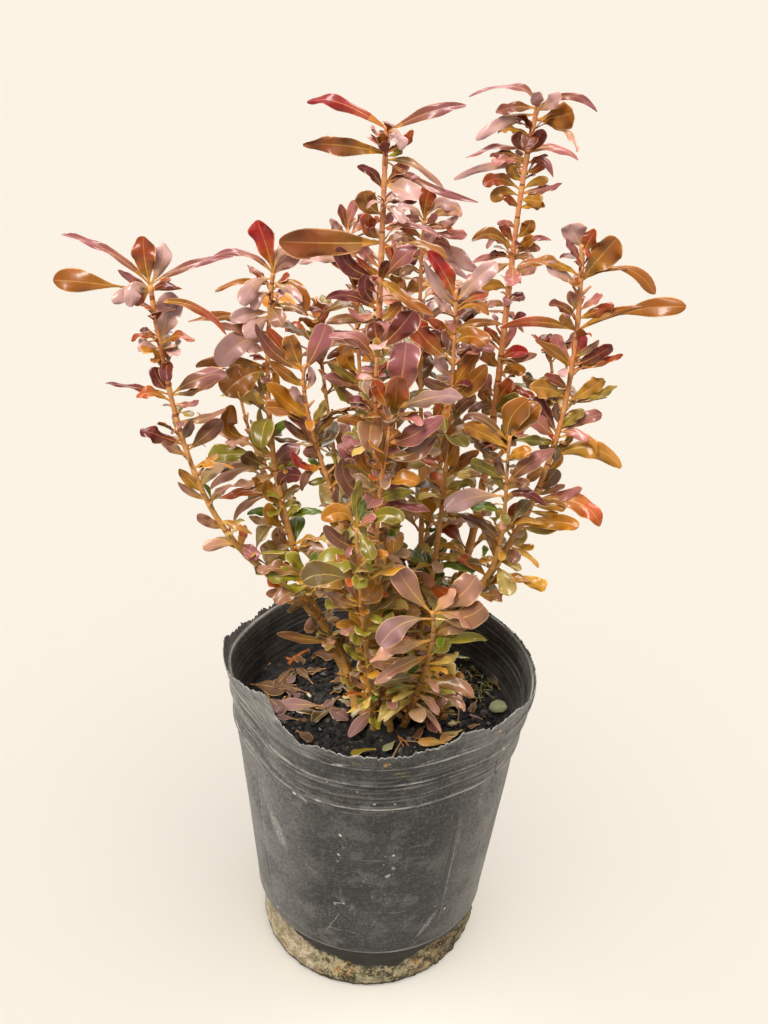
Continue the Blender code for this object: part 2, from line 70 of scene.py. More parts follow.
# ------------------------------------------------------------------ limbs
STEMS = {
    "stem_far_left": ((-10.8, 2.6), (-100.2, 0.0, 329.3), (-63, 8, 310), (-56, 21, 508), 2.5, 1.3),
    "stem_left": ((-9.1, 9.4), (-55.6, 30.0, 326.1), (-120, 21, 215), (20, 4, 227), 2.3, 1.2),
    "stem_left_inner": ((-4.3, -1.6), (-37.7, -16.0, 306.9), (10, -14, 235), (18, -9, 80), 2.0, 1.1),
    "stem_centre_left": ((-1.3, 8.9), (-27.0, 52.0, 338.9), (-32, 43, 216), (-37, 7, 222), 2.1, 1.1),
    "stem_centre": ((2.0, 3.0), (-11.6, 6.0, 395.1), (-34, 1, 245), (-2, 1, 270), 2.4, 1.3),
    "stem_centre_right": ((5.3, 8.9), (4.8, 40.0, 348.8), (59, 31, 226), (4, 5, 226), 2.1, 1.1),
    "stem_right_inner": ((8.6, 3.4), (18.5, -4.0, 336.9), (43, -7, 214), (-11, -1, 215), 2.1, 1.1),
    "stem_front": ((2.6, -4.0), (-9.5, -34.0, 324.3), (39, -26, 202), (8, -5, 201), 2.1, 1.1),
    "stem_front_low": ((5.6, -10.2), (-1.6, -44.0, 306.0), (-20, -26, 183), (30, -6, 187), 2.0, 1.1),
    "stem_tall_right": ((12.5, 10.3), (45.4, 36.0, 398.4), (123, 26, 279), (31, 2, 215), 2.5, 1.3),
    "stem_far_right": ((15.2, 2.6), (64.2, -3.0, 357.9), (50, -4, 264), (-42, 7, 395), 2.5, 1.3),
    "stem_rosette_right": ((11.4, -7.2), (18.2, -50.0, 218.5), (16, -43, 98), (-13, -11, 45), 2.1, 1.2),
    "stem_whorl": ((-2.0, -9.6), (-13.5, -54.0, 258.0), (-8, -52, 136), (-9, -6, 141), 1.9, 1.1),
    "stem_back_left": ((-4.6, 14.6), (-41.9, 82.0, 294.8), (-36, 68, 172), (-22, 10, 186), 2.1, 1.1),
    "stem_back": ((1.6, 16.0), (-7.3, 88.0, 310.3), (-7, 72, 187), (-19, 11, 199), 2.1, 1.1),
    "stem_back_right": ((7.9, 14.8), (29.4, 82.0, 300.7), (20, 68, 178), (17, 10, 189), 2.1, 1.1),
}
BOUGHS = {
    "bough_left_rosette": ("stem_far_left", 0.28, (-34.0, -20.0, 210.6), (2, -22, 32), (-2, -3, 38), 1.6, 1.1),
    "bough_right_low": ("stem_far_right", 0.34, (43.8, -22.0, 285.1), (38, -23, 90), (0, -3, 93), 1.6, 1.0),
    "bough_back_far_left": ("stem_left", 0.39, (-74.6, 62.0, 265.5), (-31, 43, 63), (-2, 6, 80), 1.6, 1.0),
    "bough_back_far_right": ("stem_tall_right", 0.42, (64.9, 66.0, 283.6), (47, 42, 38), (-30, 6, 61), 1.6, 1.0),
}
# Foliage: limb, how far along, half height, azimuth of the first pair, reach of its leaves, and whether it ends the limb.
MASSES = {
    "foliage_far_left_top": ("stem_far_left", 0.995, 11, 90, 22, True),
    "foliage_far_left_upper": ("stem_far_left", 0.935, 11, 0, 19, False),
    "foliage_far_left_middle": ("stem_far_left", 0.80, 15, 90, 21, False),
    "foliage_far_left_lower": ("stem_far_left", 0.58, 14, 0, 19, False),
    "foliage_left_top": ("stem_left", 0.98, 13, 90, 21, True),
    "foliage_left_upper": ("stem_left", 0.82, 15, 0, 21, False),
    "foliage_left_lower": ("stem_left", 0.57, 15, 90, 20, False),
    "foliage_left_inner_top": ("stem_left_inner", 0.95, 13, 90, 18, True),
    "foliage_left_inner_lower": ("stem_left_inner", 0.62, 17, 0, 18, False),
    "foliage_centre_left_top": ("stem_centre_left", 0.93, 17, 90, 18, True),
    "foliage_centre_top": ("stem_centre", 0.975, 11, 90, 22, True),
    "foliage_centre_upper": ("stem_centre", 0.82, 16, 90, 20, False),
    "foliage_centre_middle": ("stem_centre", 0.62, 17, 0, 20, False),
    "foliage_centre_lower": ("stem_centre", 0.38, 17, 90, 19, False),
    "foliage_centre_right_top": ("stem_centre_right", 0.985, 13, 90, 19, True),
    "foliage_centre_right_middle": ("stem_centre_right", 0.78, 18, 0, 19, False),
    "foliage_right_inner_top": ("stem_right_inner", 0.98, 13, 90, 19, True),
    "foliage_right_inner_middle": ("stem_right_inner", 0.73, 18, 0, 20, False),
    "foliage_front_top": ("stem_front", 0.97, 16, 90, 19, True),
    "foliage_front_low_top": ("stem_front_low", 0.975, 16, 90, 21, True),
    "foliage_tall_right_top": ("stem_tall_right", 0.985, 10, 90, 22, True),
    "foliage_tall_right_upper": ("stem_tall_right", 0.885, 11, 0, 20, False),
    "foliage_tall_right_middle": ("stem_tall_right", 0.76, 14, 90, 18, False),
    "foliage_tall_right_lower": ("stem_tall_right", 0.60, 17, 0, 19, False),
    "foliage_far_right_top": ("stem_far_right", 0.985, 12, 90, 21, True),
    "foliage_far_right_upper": ("stem_far_right", 0.90, 10, 0, 22, False),
    "foliage_far_right_middle": ("stem_far_right", 0.755, 16, 90, 22, False),
    "foliage_far_right_lower": ("stem_far_right", 0.59, 14, 0, 21, False),
    "foliage_right_low": ("bough_right_low", 0.80, 18, 90, 18, True),
    "foliage_rosette_right": ("stem_rosette_right", 0.86, 16, 90, 22, True),
    "foliage_rosette_left": ("bough_left_rosette", 0.80, 12, 90, 18, True),
    "foliage_whorl": ("stem_whorl", 0.93, 17, 0, 19, True),
    "foliage_back_left": ("stem_back_left", 0.84, 24, 90, 22, True),
    "foliage_back": ("stem_back", 0.84, 26, 0, 22, True),
    "foliage_back_right": ("stem_back_right", 0.84, 24, 90, 22, True),
    "foliage_back_far_left": ("bough_back_far_left", 0.86, 20, 0, 20, True),
    "foliage_back_far_right": ("bough_back_far_right", 0.86, 20, 90, 20, True),
}


def srgb(red, green, blue):
    return tuple((c / 12.92 if c <= 0.04045 else ((c + 0.055) / 1.055) ** 2.4) for c in (red / 255, green / 255, blue / 255))


# ------------------------------------------------------------------ materials
def new_material(name):
    mat = bpy.data.materials.new(name)
    mat.use_nodes = True
    tree = mat.node_tree
    return mat, tree, tree.nodes["Principled BSDF"]


def noise_of(tree, coords, scale, detail=4.0, rough=0.6):
    node = tree.nodes.new("ShaderNodeTexNoise")
    node.inputs["Scale"].default_value = scale
    node.inputs["Detail"].default_value = detail
    node.inputs["Roughness"].default_value = rough
    tree.links.new(coords, node.inputs["Vector"])
    return node.outputs["Fac"]


def ramp_of(tree, value, stops):
    node = tree.nodes.new("ShaderNodeValToRGB")
    ramp = node.color_ramp
    while len(ramp.elements) < len(stops):
        ramp.elements.new(0.5)
    for element, (place, colour) in zip(ramp.elements, stops):
        element.position = place
        element.color = (*colour, 1.0)
    tree.links.new(value, node.inputs["Fac"])
    return node.outputs["Color"]


def mix_of(tree, factor, first, second, mode="MIX"):
    node = tree.nodes.new("ShaderNodeMix")
    node.data_type = "RGBA"
    node.blend_type = mode
    for socket, value in ((node.inputs[0], factor), (node.inputs[6], first), (node.inputs[7], second)):
        if isinstance(value, (int, float)):
            socket.default_value = value
        elif isinstance(value, tuple):
            socket.default_value = (*value, 1.0)
        else:
            tree.links.new(value, socket)
    return node.outputs[2]


def maths(tree, operation, *values):
    node = tree.nodes.new("ShaderNodeMath")
    node.operation = operation
    node.use_clamp = False
    for i, value in enumerate(values):
        if isinstance(value, (int, float)):
            node.inputs[i].default_value = value
        else:
            tree.links.new(value, node.inputs[i])
    return node.outputs[0]


def span_of(tree, value, low, high):
    node = tree.nodes.new("ShaderNodeMapRange")
    node.interpolation_type = "SMOOTHSTEP"
    node.inputs["From Min"].default_value = low
    node.inputs["From Max"].default_value = high
    tree.links.new(value, node.inputs["Value"])
    return node.outputs["Result"]


def bump_to(tree, shader, height, strength, distance):
    node = tree.nodes.new("ShaderNodeBump")
    node.inputs["Strength"].default_value = strength
    node.inputs["Distance"].default_value = distance
    tree.links.new(height, node.inputs["Height"])
    tree.links.new(node.outputs["Normal"], shader.inputs["Normal"])


def place_of(tree):
    node = tree.nodes.new("ShaderNodeTexCoord")
    split = tree.nodes.new("ShaderNodeSeparateXYZ")
    tree.links.new(node.outputs["Object"], split.inputs[0])
    return node.outputs["Object"], split.outputs


def leaf_material(name, colour, rough, coat):
    """One plain leaf tint, with a fine unevenness of its surface."""
    mat, tree, shader = new_material(name)
    coords, _ = place_of(tree)
    shader.inputs["Base Color"].default_value = (*srgb(*colour), 1.0)
    shader.inputs["Roughness"].default_value = rough
    shader.inputs["Specular IOR Level"].default_value = 0.4
    shader.inputs["Coat Weight"].default_value = coat
    shader.inputs["Coat Roughness"].default_value = 0.20
    shader.inputs["Coat IOR"].default_value = 1.55
    bump_to(tree, shader, noise_of(tree, coords, 620.0, 3.0), 0.16, 0.0005)
    return mat


def between(first, second, share):
    return tuple(a + (b - a) * share for a, b in zip(first, second))


# Each tint: the outer half of the blade, the half next to the stalk, and the underside. The mauve and silver tints
# carry a painted pinkish-white sky sheen in their colour: mauve is a red leaf under that painted sheen, and silver is
# mostly the painted sheen itself.
TINTS = {
    "mauve_sheen": ((156, 98, 90), (150, 100, 58), (176, 102, 50)),
    "dusk": ((124, 76, 56), (130, 90, 38), (150, 96, 36)),
    "maroon": ((106, 34, 30), (120, 60, 30), (134, 60, 30)),
    "bronze": ((150, 88, 24), (154, 106, 24), (166, 100, 26)),
    "ochre": ((184, 114, 18), (188, 132, 26), (186, 114, 22)),
    "orange": ((182, 82, 24), (184, 126, 32), (184, 96, 26)),
    "red": ((170, 34, 30), (184, 104, 32), (150, 44, 26)),
    "olive": ((122, 106, 20), (138, 122, 26), (150, 118, 26)),
    "green": ((84, 106, 20), (114, 128, 28), (124, 122, 30)),
    "pink": ((194, 118, 112), (184, 118, 80), (192, 108, 74)),
    "brown": ((102, 66, 24), (116, 82, 24), (136, 84, 24)),
    "straw": ((222, 188, 98), (214, 178, 80), (208, 172, 74)),
    "khaki": ((148, 120, 52), (158, 132, 42), (164, 120, 34)),
    "umber": ((80, 60, 26), (96, 76, 26), (120, 82, 26)),
    "taupe": ((150, 112, 84), (148, 118, 56), (164, 110, 46)),
    "rust": ((154, 62, 20), (160, 106, 26), (148, 68, 22)),
    "chestnut": ((106, 44, 22), (128, 72, 24), (118, 52, 22)),
    "amber": ((160, 90, 20), (172, 118, 28), (164, 92, 22)),
    "wine": ((116, 46, 42), (130, 68, 34), (116, 46, 34)),
    "plum": ((158, 90, 90), (152, 90, 62), (142, 68, 52)),
    "silver_sheen": ((208, 160, 154), (192, 146, 116), (184, 122, 90)),
    "sienna": ((142, 70, 18), (150, 96, 24), (146, 80, 22)),
    "crimson": ((146, 20, 24), (166, 62, 28), (126, 36, 24)),
    "clay": ((172, 118, 96), (168, 124, 66), (184, 124, 56)),
    "blush": ((212, 152, 124), (202, 154, 92), (206, 146, 78)),
    "garnet": ((128, 62, 42), (140, 88, 36), (150, 92, 34)),
    "dun": ((150, 102, 70), (154, 114, 48), (166, 116, 44)),
    "gold": ((178, 118, 34), (182, 134, 38), (188, 128, 34)),
    "honey": ((206, 146, 40), (208, 158, 46), (204, 146, 38)),
    "moss": ((146, 134, 36), (160, 148, 40), (164, 138, 36)),
    "flax": ((180, 152, 78), (186, 160, 66), (184, 146, 54)),
    "earth": ((108, 86, 42), (124, 102, 42), (140, 104, 38)),
    "sand": ((180, 142, 106), (178, 146, 78), (186, 136, 64)),
    "faded_mauve": ((118, 84, 80), (122, 92, 68), (120, 84, 60)),
    "faded_brown": ((98, 64, 36), (124, 88, 44), (108, 72, 38)),
    "faded_rose": ((154, 112, 108), (150, 116, 84), (150, 106, 80)),
    "faded_ochre": ((176, 124, 56), (176, 134, 62), (160, 114, 52)),
    "bark_orange": ((150, 92, 38), (170, 112, 50), (138, 84, 36)),
    "sage": ((134, 138, 100), (152, 150, 106), (140, 138, 94)),
}
# High up the same leaves are redder. Low down they are yellower and paler, and the paleness is a painted lift of light
# on the leaves that the crown shades.
REDDER = {"bronze": "rust", "brown": "chestnut", "ochre": "amber", "dusk": "wine", "mauve_sheen": "plum", "taupe": "mauve_sheen", "khaki": "bronze", "olive": "bronze", "umber": "chestnut"}
PALER_AS_PAINTED_LIGHT = {"mauve_sheen": "clay", "pink": "blush", "maroon": "garnet", "dusk": "dun", "bronze": "gold", "ochre": "honey", "olive": "moss", "khaki": "flax", "umber": "earth", "brown": "earth", "taupe": "sand"}
DRY = ("faded_mauve", "faded_brown", "faded_rose", "faded_ochre", "bark_orange", "sage")
STEPS = 4
LEAF_MATERIALS = {}
for tint, (outer, inner, under) in TINTS.items():
    # The under zone is partly the underside's own colour and partly a painted amber glow of light shining through the
    # leaf. The pale edge zone is partly the leaf's own margin and partly a painted highlight along the rim.
    zones = {"stalk": between(inner, (226, 160, 62), 0.65), "under": under, "edge": between(outer, (240, 196, 138), 0.60)}
    for step in range(STEPS):
        share = step / (STEPS - 1)
        blade = between(inner, outer, share)
        zones["blade_" + str(step)] = blade
        zones["rib_" + str(step)] = between(blade, (246, 200, 116), 0.74 - 0.40 * share)
    for zone, colour in zones.items():
        below = zone == "under"
        LEAF_MATERIALS[tint, zone] = leaf_material("leaf_" + tint + "_" + zone, colour, 0.6 if tint in DRY else 0.5 if below else 0.36, 0.05 if below or tint in DRY else 0.31)


# How high the dried mud on the foot of the pot reaches at each azimuth, degrees and mm.
MUD_LINE = ((-180, 13.0), (-156, 16.0), (-146, 20.5), (-136, 22.0), (-125, 19.5), (-115, 16.5), (-105, 14.5), (-91, 12.5), (-73, 12.5),
            (-65, 15.0), (-60, 18.5), (-55, 21.0), (-48, 21.5), (-40, 19.5), (-25, 18.0), (0, 14.0), (35, 12.0), (80, 15.0), (130, 13.0), (180, 13.0))
# Shades for the pot. CHALK_AND_HIGHLIGHT and DUSTY_AND_HIGHLIGHT also serve as painted highlight on the mould seams,
# and SOOT_AND_SHADOW as painted shadow beside the seams and under each rib.
BRIGHT, CHALK_AND_HIGHLIGHT, DUSTY_AND_HIGHLIGHT, GREYED, DULL = (224, 219, 207), (182, 178, 168), (154, 150, 142), (126, 123, 117), (100, 98, 94)
SOOT_AND_SHADOW, MOSSY, RUSTY, BROWNED = (28, 27, 25), (142, 136, 88), (192, 144, 80), (98, 76, 64)
# Marks on the wall of the pot: azimuth and height of the middle, half length, half width, tilt in degrees, strength and shade.
MARKS = (
    (-52.5, 84.0, 12.0, 3.6, 88.0, 0.45, BROWNED), (-49.0, 74.0, 9.0, 2.6, 80.0, 0.35, BROWNED),
    # The seam down the front right: the pale lines are a painted highlight on its ridge and the dark lines beside them
    # its painted shadow. The next line does the same for the seam at the back left.
    (-52.5, 76.0, 48.0, 0.46, 88.5, 1.0, CHALK_AND_HIGHLIGHT), (-54.6, 84.0, 38.0, 0.55, 88.0, 0.9, SOOT_AND_SHADOW), (-50.9, 96.0, 20.0, 0.26, 89.0, 0.9, DUSTY_AND_HIGHLIGHT), (-51.6, 96.0, 20.0, 0.3, 89.0, 0.7, SOOT_AND_SHADOW),
    (-143.5, 84.0, 42.0, 0.40, 91.5, 0.8, CHALK_AND_HIGHLIGHT), (-146.0, 88.0, 40.0, 0.65, 91.5, 0.95, SOOT_AND_SHADOW),
    (-133.0, 91.0, 14.0, 4.2, 114.0, 0.75, CHALK_AND_HIGHLIGHT), (-140.0, 104.0, 9.0, 2.2, 112.0, 0.45, DUSTY_AND_HIGHLIGHT),
    (-59.0, 41.0, 11.0, 2.4, 58.0, 0.75, DUSTY_AND_HIGHLIGHT), (-62.0, 36.0, 9.0, 1.0, 52.0, 0.6, CHALK_AND_HIGHLIGHT), (-64.5, 35.0, 7.0, 0.5, 60.0, 0.7, SOOT_AND_SHADOW),
    (-76.0, 54.0, 5.0, 0.45, 2.0, 0.8, GREYED), (-74.0, 40.0, 7.5, 0.4, -6.0, 0.55, GREYED), (-83.0, 48.0, 9.0, 0.8, 4.0, 0.6, SOOT_AND_SHADOW),
    (-70.0, 47.0, 9.0, 0.35, 8.0, 0.5, GREYED), (-96.0, 39.0, 5.0, 0.4, -12.0, 0.6, GREYED), (-80.0, 43.0, 8.0, 0.5, -4.0, 0.5, SOOT_AND_SHADOW),
    (-105.2, 44.0, 12.5, 0.30, 66.0, 1.0, CHALK_AND_HIGHLIGHT), (-102.6, 58.5, 3.6, 0.5, 12.0, 0.8, BRIGHT), (-101.4, 60.6, 1.6, 0.4, 80.0, 0.9, BRIGHT), (-100.2, 59.4, 1.5, 0.4, 108.0, 0.9, BRIGHT),
    (-81.2, 147.8, 5.0, 0.7, -4.0, 0.85, MOSSY), (-80.5, 145.6, 4.2, 0.5, -2.0, 0.7, MOSSY), (-96.5, 154.6, 3.0, 1.1, -24.0, 0.6, MOSSY),
    (-102.5, 152.2, 4.8, 0.7, 8.0, 0.8, CHALK_AND_HIGHLIGHT), (-109.0, 155.0, 5.0, 0.35, -18.0, 0.8, CHALK_AND_HIGHLIGHT), (-70.0, 152.2, 9.0, 0.5, 4.0, 0.6, DUSTY_AND_HIGHLIGHT),
    (-118.0, 122.5, 3.6, 1.2, -30.0, 0.8, CHALK_AND_HIGHLIGHT), (-110.5, 125.2, 1.7, 1.4, 0.0, 0.85, CHALK_AND_HIGHLIGHT),
    (-36.0, 128.0, 15.0, 0.8, 96.0, 0.7, SOOT_AND_SHADOW), (-40.0, 118.0, 20.0, 3.0, 84.0, 0.45, DUSTY_AND_HIGHLIGHT), (-43.5, 138.0, 5.5, 2.4, 80.0, 0.6, SOOT_AND_SHADOW),
    (-30.0, 84.0, 26.0, 3.4, 82.0, 0.50, DUSTY_AND_HIGHLIGHT), (-34.0, 62.0, 16.0, 4.0, 86.0, 0.35, GREYED),
    (-128.0, 120.0, 17.0, 4.5, 148.0, 0.35, GREYED), (-134.0, 134.0, 14.0, 4.0, 152.0, 0.35, DUSTY_AND_HIGHLIGHT),
    (-129.0, 165.0, 6.5, 4.6, 70.0, 0.5, CHALK_AND_HIGHLIGHT), (-118.0, 160.0, 9.0, 2.2, 140.0, 0.4, DUSTY_AND_HIGHLIGHT), (-131.5, 158.0, 8.0, 0.6, 118.0, 0.6, SOOT_AND_SHADOW),
    (-92.0, 70.0, 16.0, 10.0, 20.0, 0.35, SOOT_AND_SHADOW), (-112.0, 78.0, 14.0, 9.0, 60.0, 0.30, DULL), (-99.0, 66.0, 5.0, 3.0, 100.0, 0.4, SOOT_AND_SHADOW),
    (60.0, 90.0, 24.0, 4.0, 80.0, 0.35, GREYED), (100.0, 60.0, 20.0, 5.0, 70.0, 0.3, GREYED),
    (140.0, 100.0, 28.0, 4.0, 95.0, 0.35, DUSTY_AND_HIGHLIGHT), (20.0, 60.0, 14.0, 5.0, 60.0, 0.3, GREYED),
)
# Specks: azimuth, height, half size and shade.
SPECKS = (
    (-89.8, 129.0, 0.55, BRIGHT), (-82.0, 128.2, 0.6, BRIGHT), (-35.0, 140.5, 0.7, BRIGHT), (-41.5, 156.2, 1.0, BRIGHT), (-42.6, 156.0, 0.9, RUSTY),
    (-86.8, 154.2, 1.3, RUSTY), (-85.4, 154.8, 0.8, RUSTY), (-50.8, 45.5, 1.0, BRIGHT), (-102.2, 106.0, 1.1, BRIGHT), (-102.8, 92.5, 0.8, BRIGHT),
    (-83.8, 94.5, 0.5, CHALK_AND_HIGHLIGHT), (-80.5, 95.0, 0.8, BRIGHT), (-80.0, 86.2, 1.1, CHALK_AND_HIGHLIGHT), (-82.0, 81.0, 1.4, CHALK_AND_HIGHLIGHT),
    (-82.5, 123.5, 0.5, CHALK_AND_HIGHLIGHT), (-121.5, 122.6, 1.0, BRIGHT), (-139.2, 30.0, 1.2, CHALK_AND_HIGHLIGHT), (-57.2, 51.0, 0.6, CHALK_AND_HIGHLIGHT),
    (-104.4, 57.2, 0.7, CHALK_AND_HIGHLIGHT), (-92.0, 77.0, 0.5, CHALK_AND_HIGHLIGHT), (-88.0, 66.0, 0.5, CHALK_AND_HIGHLIGHT), (-84.2, 89.0, 0.6, RUSTY), (-103.0, 88.0, 0.5, CHALK_AND_HIGHLIGHT),
    (-107.0, 139.0, 0.6, BRIGHT), (-96.0, 136.0, 0.5, CHALK_AND_HIGHLIGHT), (-44.0, 30.0, 0.8, CHALK_AND_HIGHLIGHT), (30.0, 70.0, 0.9, BRIGHT),
    (75.0, 110.0, 0.8, BRIGHT), (120.0, 50.0, 1.0, CHALK_AND_HIGHLIGHT), (160.0, 85.0, 0.8, BRIGHT), (-165.0, 95.0, 0.8, CHALK_AND_HIGHLIGHT),
)
ROUND = 0.0625  # the mean radius of the wall, which turns an azimuth into a length round it


def stretched(tree, coords, scale, across, along, detail=5.0):
    """Noise drawn out up the wall or round it."""
    node = tree.nodes.new("ShaderNodeMapping")
    node.inputs["Scale"].default_value = (across, across, along)
    tree.links.new(coords, node.inputs["Vector"])
    return noise_of(tree, node.outputs[0], scale, detail, 0.65)


def ribs_of(tree, base, height, azimuth, worn_and_lit, pale, crest_wear_and_highlight_share, painted_shadow_share):
    """The crest of each rib pale, partly wear and partly a painted highlight, and a painted shadow line under it."""
    waver = 0.0
    for swing, beats, start in ((0.35, 3, 1.0), (0.25, 7, 0.4), (0.12, 17, 0.0)):
        turn = maths(tree, "SINE", maths(tree, "ADD", maths(tree, "MULTIPLY", azimuth, float(beats)), start))
        waver = maths(tree, "ADD", waver, maths(tree, "MULTIPLY", turn, swing * MM))
    level = maths(tree, "SUBTRACT", height, waver)
    for centre, depth, wide in RIBS:
        off = maths(tree, "ABSOLUTE", maths(tree, "SUBTRACT", level, (centre + 0.15) * MM))
        base = mix_of(tree, maths(tree, "MULTIPLY", span_of(tree, off, 0.00055, 0.0001), maths(tree, "MULTIPLY", worn_and_lit, crest_wear_and_highlight_share * min(1.0, 0.25 + depth))), base, pale)
        off = maths(tree, "ABSOLUTE", maths(tree, "SUBTRACT", level, (centre - 1.0) * MM))
        base = mix_of(tree, maths(tree, "MULTIPLY", span_of(tree, off, 0.0008, 0.0002), painted_shadow_share), base, srgb(*SOOT_AND_SHADOW))
    return base


FOOT_TOP, BAND_BOTTOM = 26.0, 120.0


def pot_material(name, low, high):
    """The plastic of the outer wall between two heights: only the marks, ribs and mud that lie there."""
    mat, tree, shader = new_material(name)
    coords, xyz = place_of(tree)
    height = xyz["Z"]
    azimuth = maths(tree, "ARCTAN2", xyz["Y"], xyz["X"])
    flat = tree.nodes.new("ShaderNodeCombineXYZ")
    tree.links.new(maths(tree, "MULTIPLY", azimuth, ROUND), flat.inputs[0])
    tree.links.new(height, flat.inputs[1])
    # The edges of the marks are ragged: the place on the wall wavers a little.
    ragged = tree.nodes.new("ShaderNodeTexNoise")
    ragged.inputs["Scale"].default_value = 420.0
    ragged.inputs["Detail"].default_value = 3.0
    tree.links.new(coords, ragged.inputs["Vector"])
    shift = tree.nodes.new("ShaderNodeVectorMath")
    shift.operation = "MULTIPLY_ADD"
    tree.links.new(ragged.outputs["Color"], shift.inputs[0])
    shift.inputs[1].default_value = (0.0016, 0.0016, 0.0)
    tree.links.new(flat.outputs[0], shift.inputs[2])

    def on_wall(middle, tall, long, wide, tilt):
        """Distance from the middle of an oval on the unrolled wall, 1 at its edge."""
        node = tree.nodes.new("ShaderNodeMapping")
        node.vector_type = "TEXTURE"
        node.inputs["Location"].default_value = (math.radians(middle) * ROUND + 0.0008, tall * MM + 0.0008, 0)
        node.inputs["Rotation"].default_value = (0, 0, math.radians(tilt))
        node.inputs["Scale"].default_value = (long * MM, wide * MM, 1)
        tree.links.new(shift.outputs[0], node.inputs["Vector"])
        size = tree.nodes.new("ShaderNodeVectorMath")
        size.operation = "LENGTH"
        tree.links.new(node.outputs[0], size.inputs[0])
        return size.outputs["Value"]

    broad = noise_of(tree, coords, 34.0, 6.0, 0.65)
    fine = noise_of(tree, coords, 260.0, 6.0, 0.7)
    grain = noise_of(tree, coords, 700.0, 4.0, 0.75)
    grit = noise_of(tree, coords, 1150.0, 2.0, 0.6)
    upright = stretched(tree, coords, 420.0, 1.0, 0.16)
    level = stretched(tree, coords, 520.0, 0.10, 1.0)
    patches = noise_of(tree, coords, 70.0, 3.0, 0.5)
    base = mix_of(tree, span_of(tree, broad, 0.36, 0.66), srgb(25, 24, 23), srgb(58, 56, 53))
    blots = noise_of(tree, coords, 88.0, 5.0, 0.6)
    base = mix_of(tree, maths(tree, "MULTIPLY", span_of(tree, blots, 0.52, 0.64), 0.72), base, srgb(98, 96, 93))
    base = mix_of(tree, maths(tree, "MULTIPLY", span_of(tree, blots, 0.47, 0.38), 0.75), base, srgb(22, 21, 19))
    base = mix_of(tree, maths(tree, "MULTIPLY", span_of(tree, grain, 0.50, 0.66), 0.65), base, srgb(*DULL))
    base = mix_of(tree, maths(tree, "MULTIPLY", span_of(tree, grain, 0.48, 0.36), 0.75), base, srgb(20, 19, 17))
    base = mix_of(tree, maths(tree, "MULTIPLY", span_of(tree, fine, 0.54, 0.68), 0.5), base, srgb(*DULL))
    scratched = maths(tree, "MULTIPLY", span_of(tree, upright, 0.60, 0.70), span_of(tree, patches, 0.46, 0.60))
    base = mix_of(tree, maths(tree, "MULTIPLY", scratched, 0.6), base, srgb(*GREYED))
    scratched = maths(tree, "MULTIPLY", span_of(tree, level, 0.60, 0.70), span_of(tree, patches, 0.56, 0.44))
    base = mix_of(tree, maths(tree, "MULTIPLY", scratched, 0.6), base, srgb(*GREYED))
    # Dust with a painted sheen towards the left and right sides: thickest on the left, thinner on the right and at the
    # back, and none on the middle of the front.
    dust_and_side_sheen = maths(tree, "MAXIMUM", span_of(tree, xyz["X"], -0.016, -0.062), maths(tree, "MULTIPLY", span_of(tree, xyz["X"], 0.026, 0.060), 0.95))
    dust_and_side_sheen = maths(tree, "MAXIMUM", dust_and_side_sheen, maths(tree, "MULTIPLY", span_of(tree, xyz["Y"], 0.0, 0.04), 0.6))
    uneven = maths(tree, "ADD", maths(tree, "MULTIPLY", span_of(tree, broad, 0.34, 0.66), 0.45), maths(tree, "MULTIPLY", span_of(tree, grain, 0.34, 0.66), 0.45))
    dust_and_sheen_tone = mix_of(tree, span_of(tree, xyz["X"], -0.01, 0.01), srgb(150, 147, 141), srgb(172, 166, 155))
    base = mix_of(tree, maths(tree, "MULTIPLY", dust_and_side_sheen, maths(tree, "ADD", uneven, 0.12)), base, dust_and_sheen_tone)
    # How strongly the rib crests and the ledge edge show pale: partly wear, partly a painted highlight.
    worn_and_lit = maths(tree, "ADD", 0.10, maths(tree, "MULTIPLY", span_of(tree, stretched(tree, coords, 230.0, 0.22, 1.0, 4.0), 0.42, 0.62), 0.9))
    if low >= BAND_BOTTOM:
        # The band above the ribs is scuffed.
        band = maths(tree, "MULTIPLY", span_of(tree, height, 0.1475, 0.160), span_of(tree, fine, 0.40, 0.62))
        band = maths(tree, "MULTIPLY", band, maths(tree, "ADD", 0.25, maths(tree, "MULTIPLY", dust_and_side_sheen, 0.6)))
        base = mix_of(tree, band, base, srgb(*DUSTY_AND_HIGHLIGHT))
        # Streaks along the ribs, strongest where the dust and the painted side sheen lie.
        drawn = stretched(tree, coords, 640.0, 0.06, 1.0, 4.0)
        share = maths(tree, "ADD", 0.22, maths(tree, "MULTIPLY", dust_and_side_sheen, 0.62))
        base = mix_of(tree, maths(tree, "MULTIPLY", span_of(tree, drawn, 0.54, 0.64), share), base, srgb(*CHALK_AND_HIGHLIGHT))
        base = mix_of(tree, maths(tree, "MULTIPLY", span_of(tree, drawn, 0.46, 0.37), share), base, srgb(44, 42, 39))
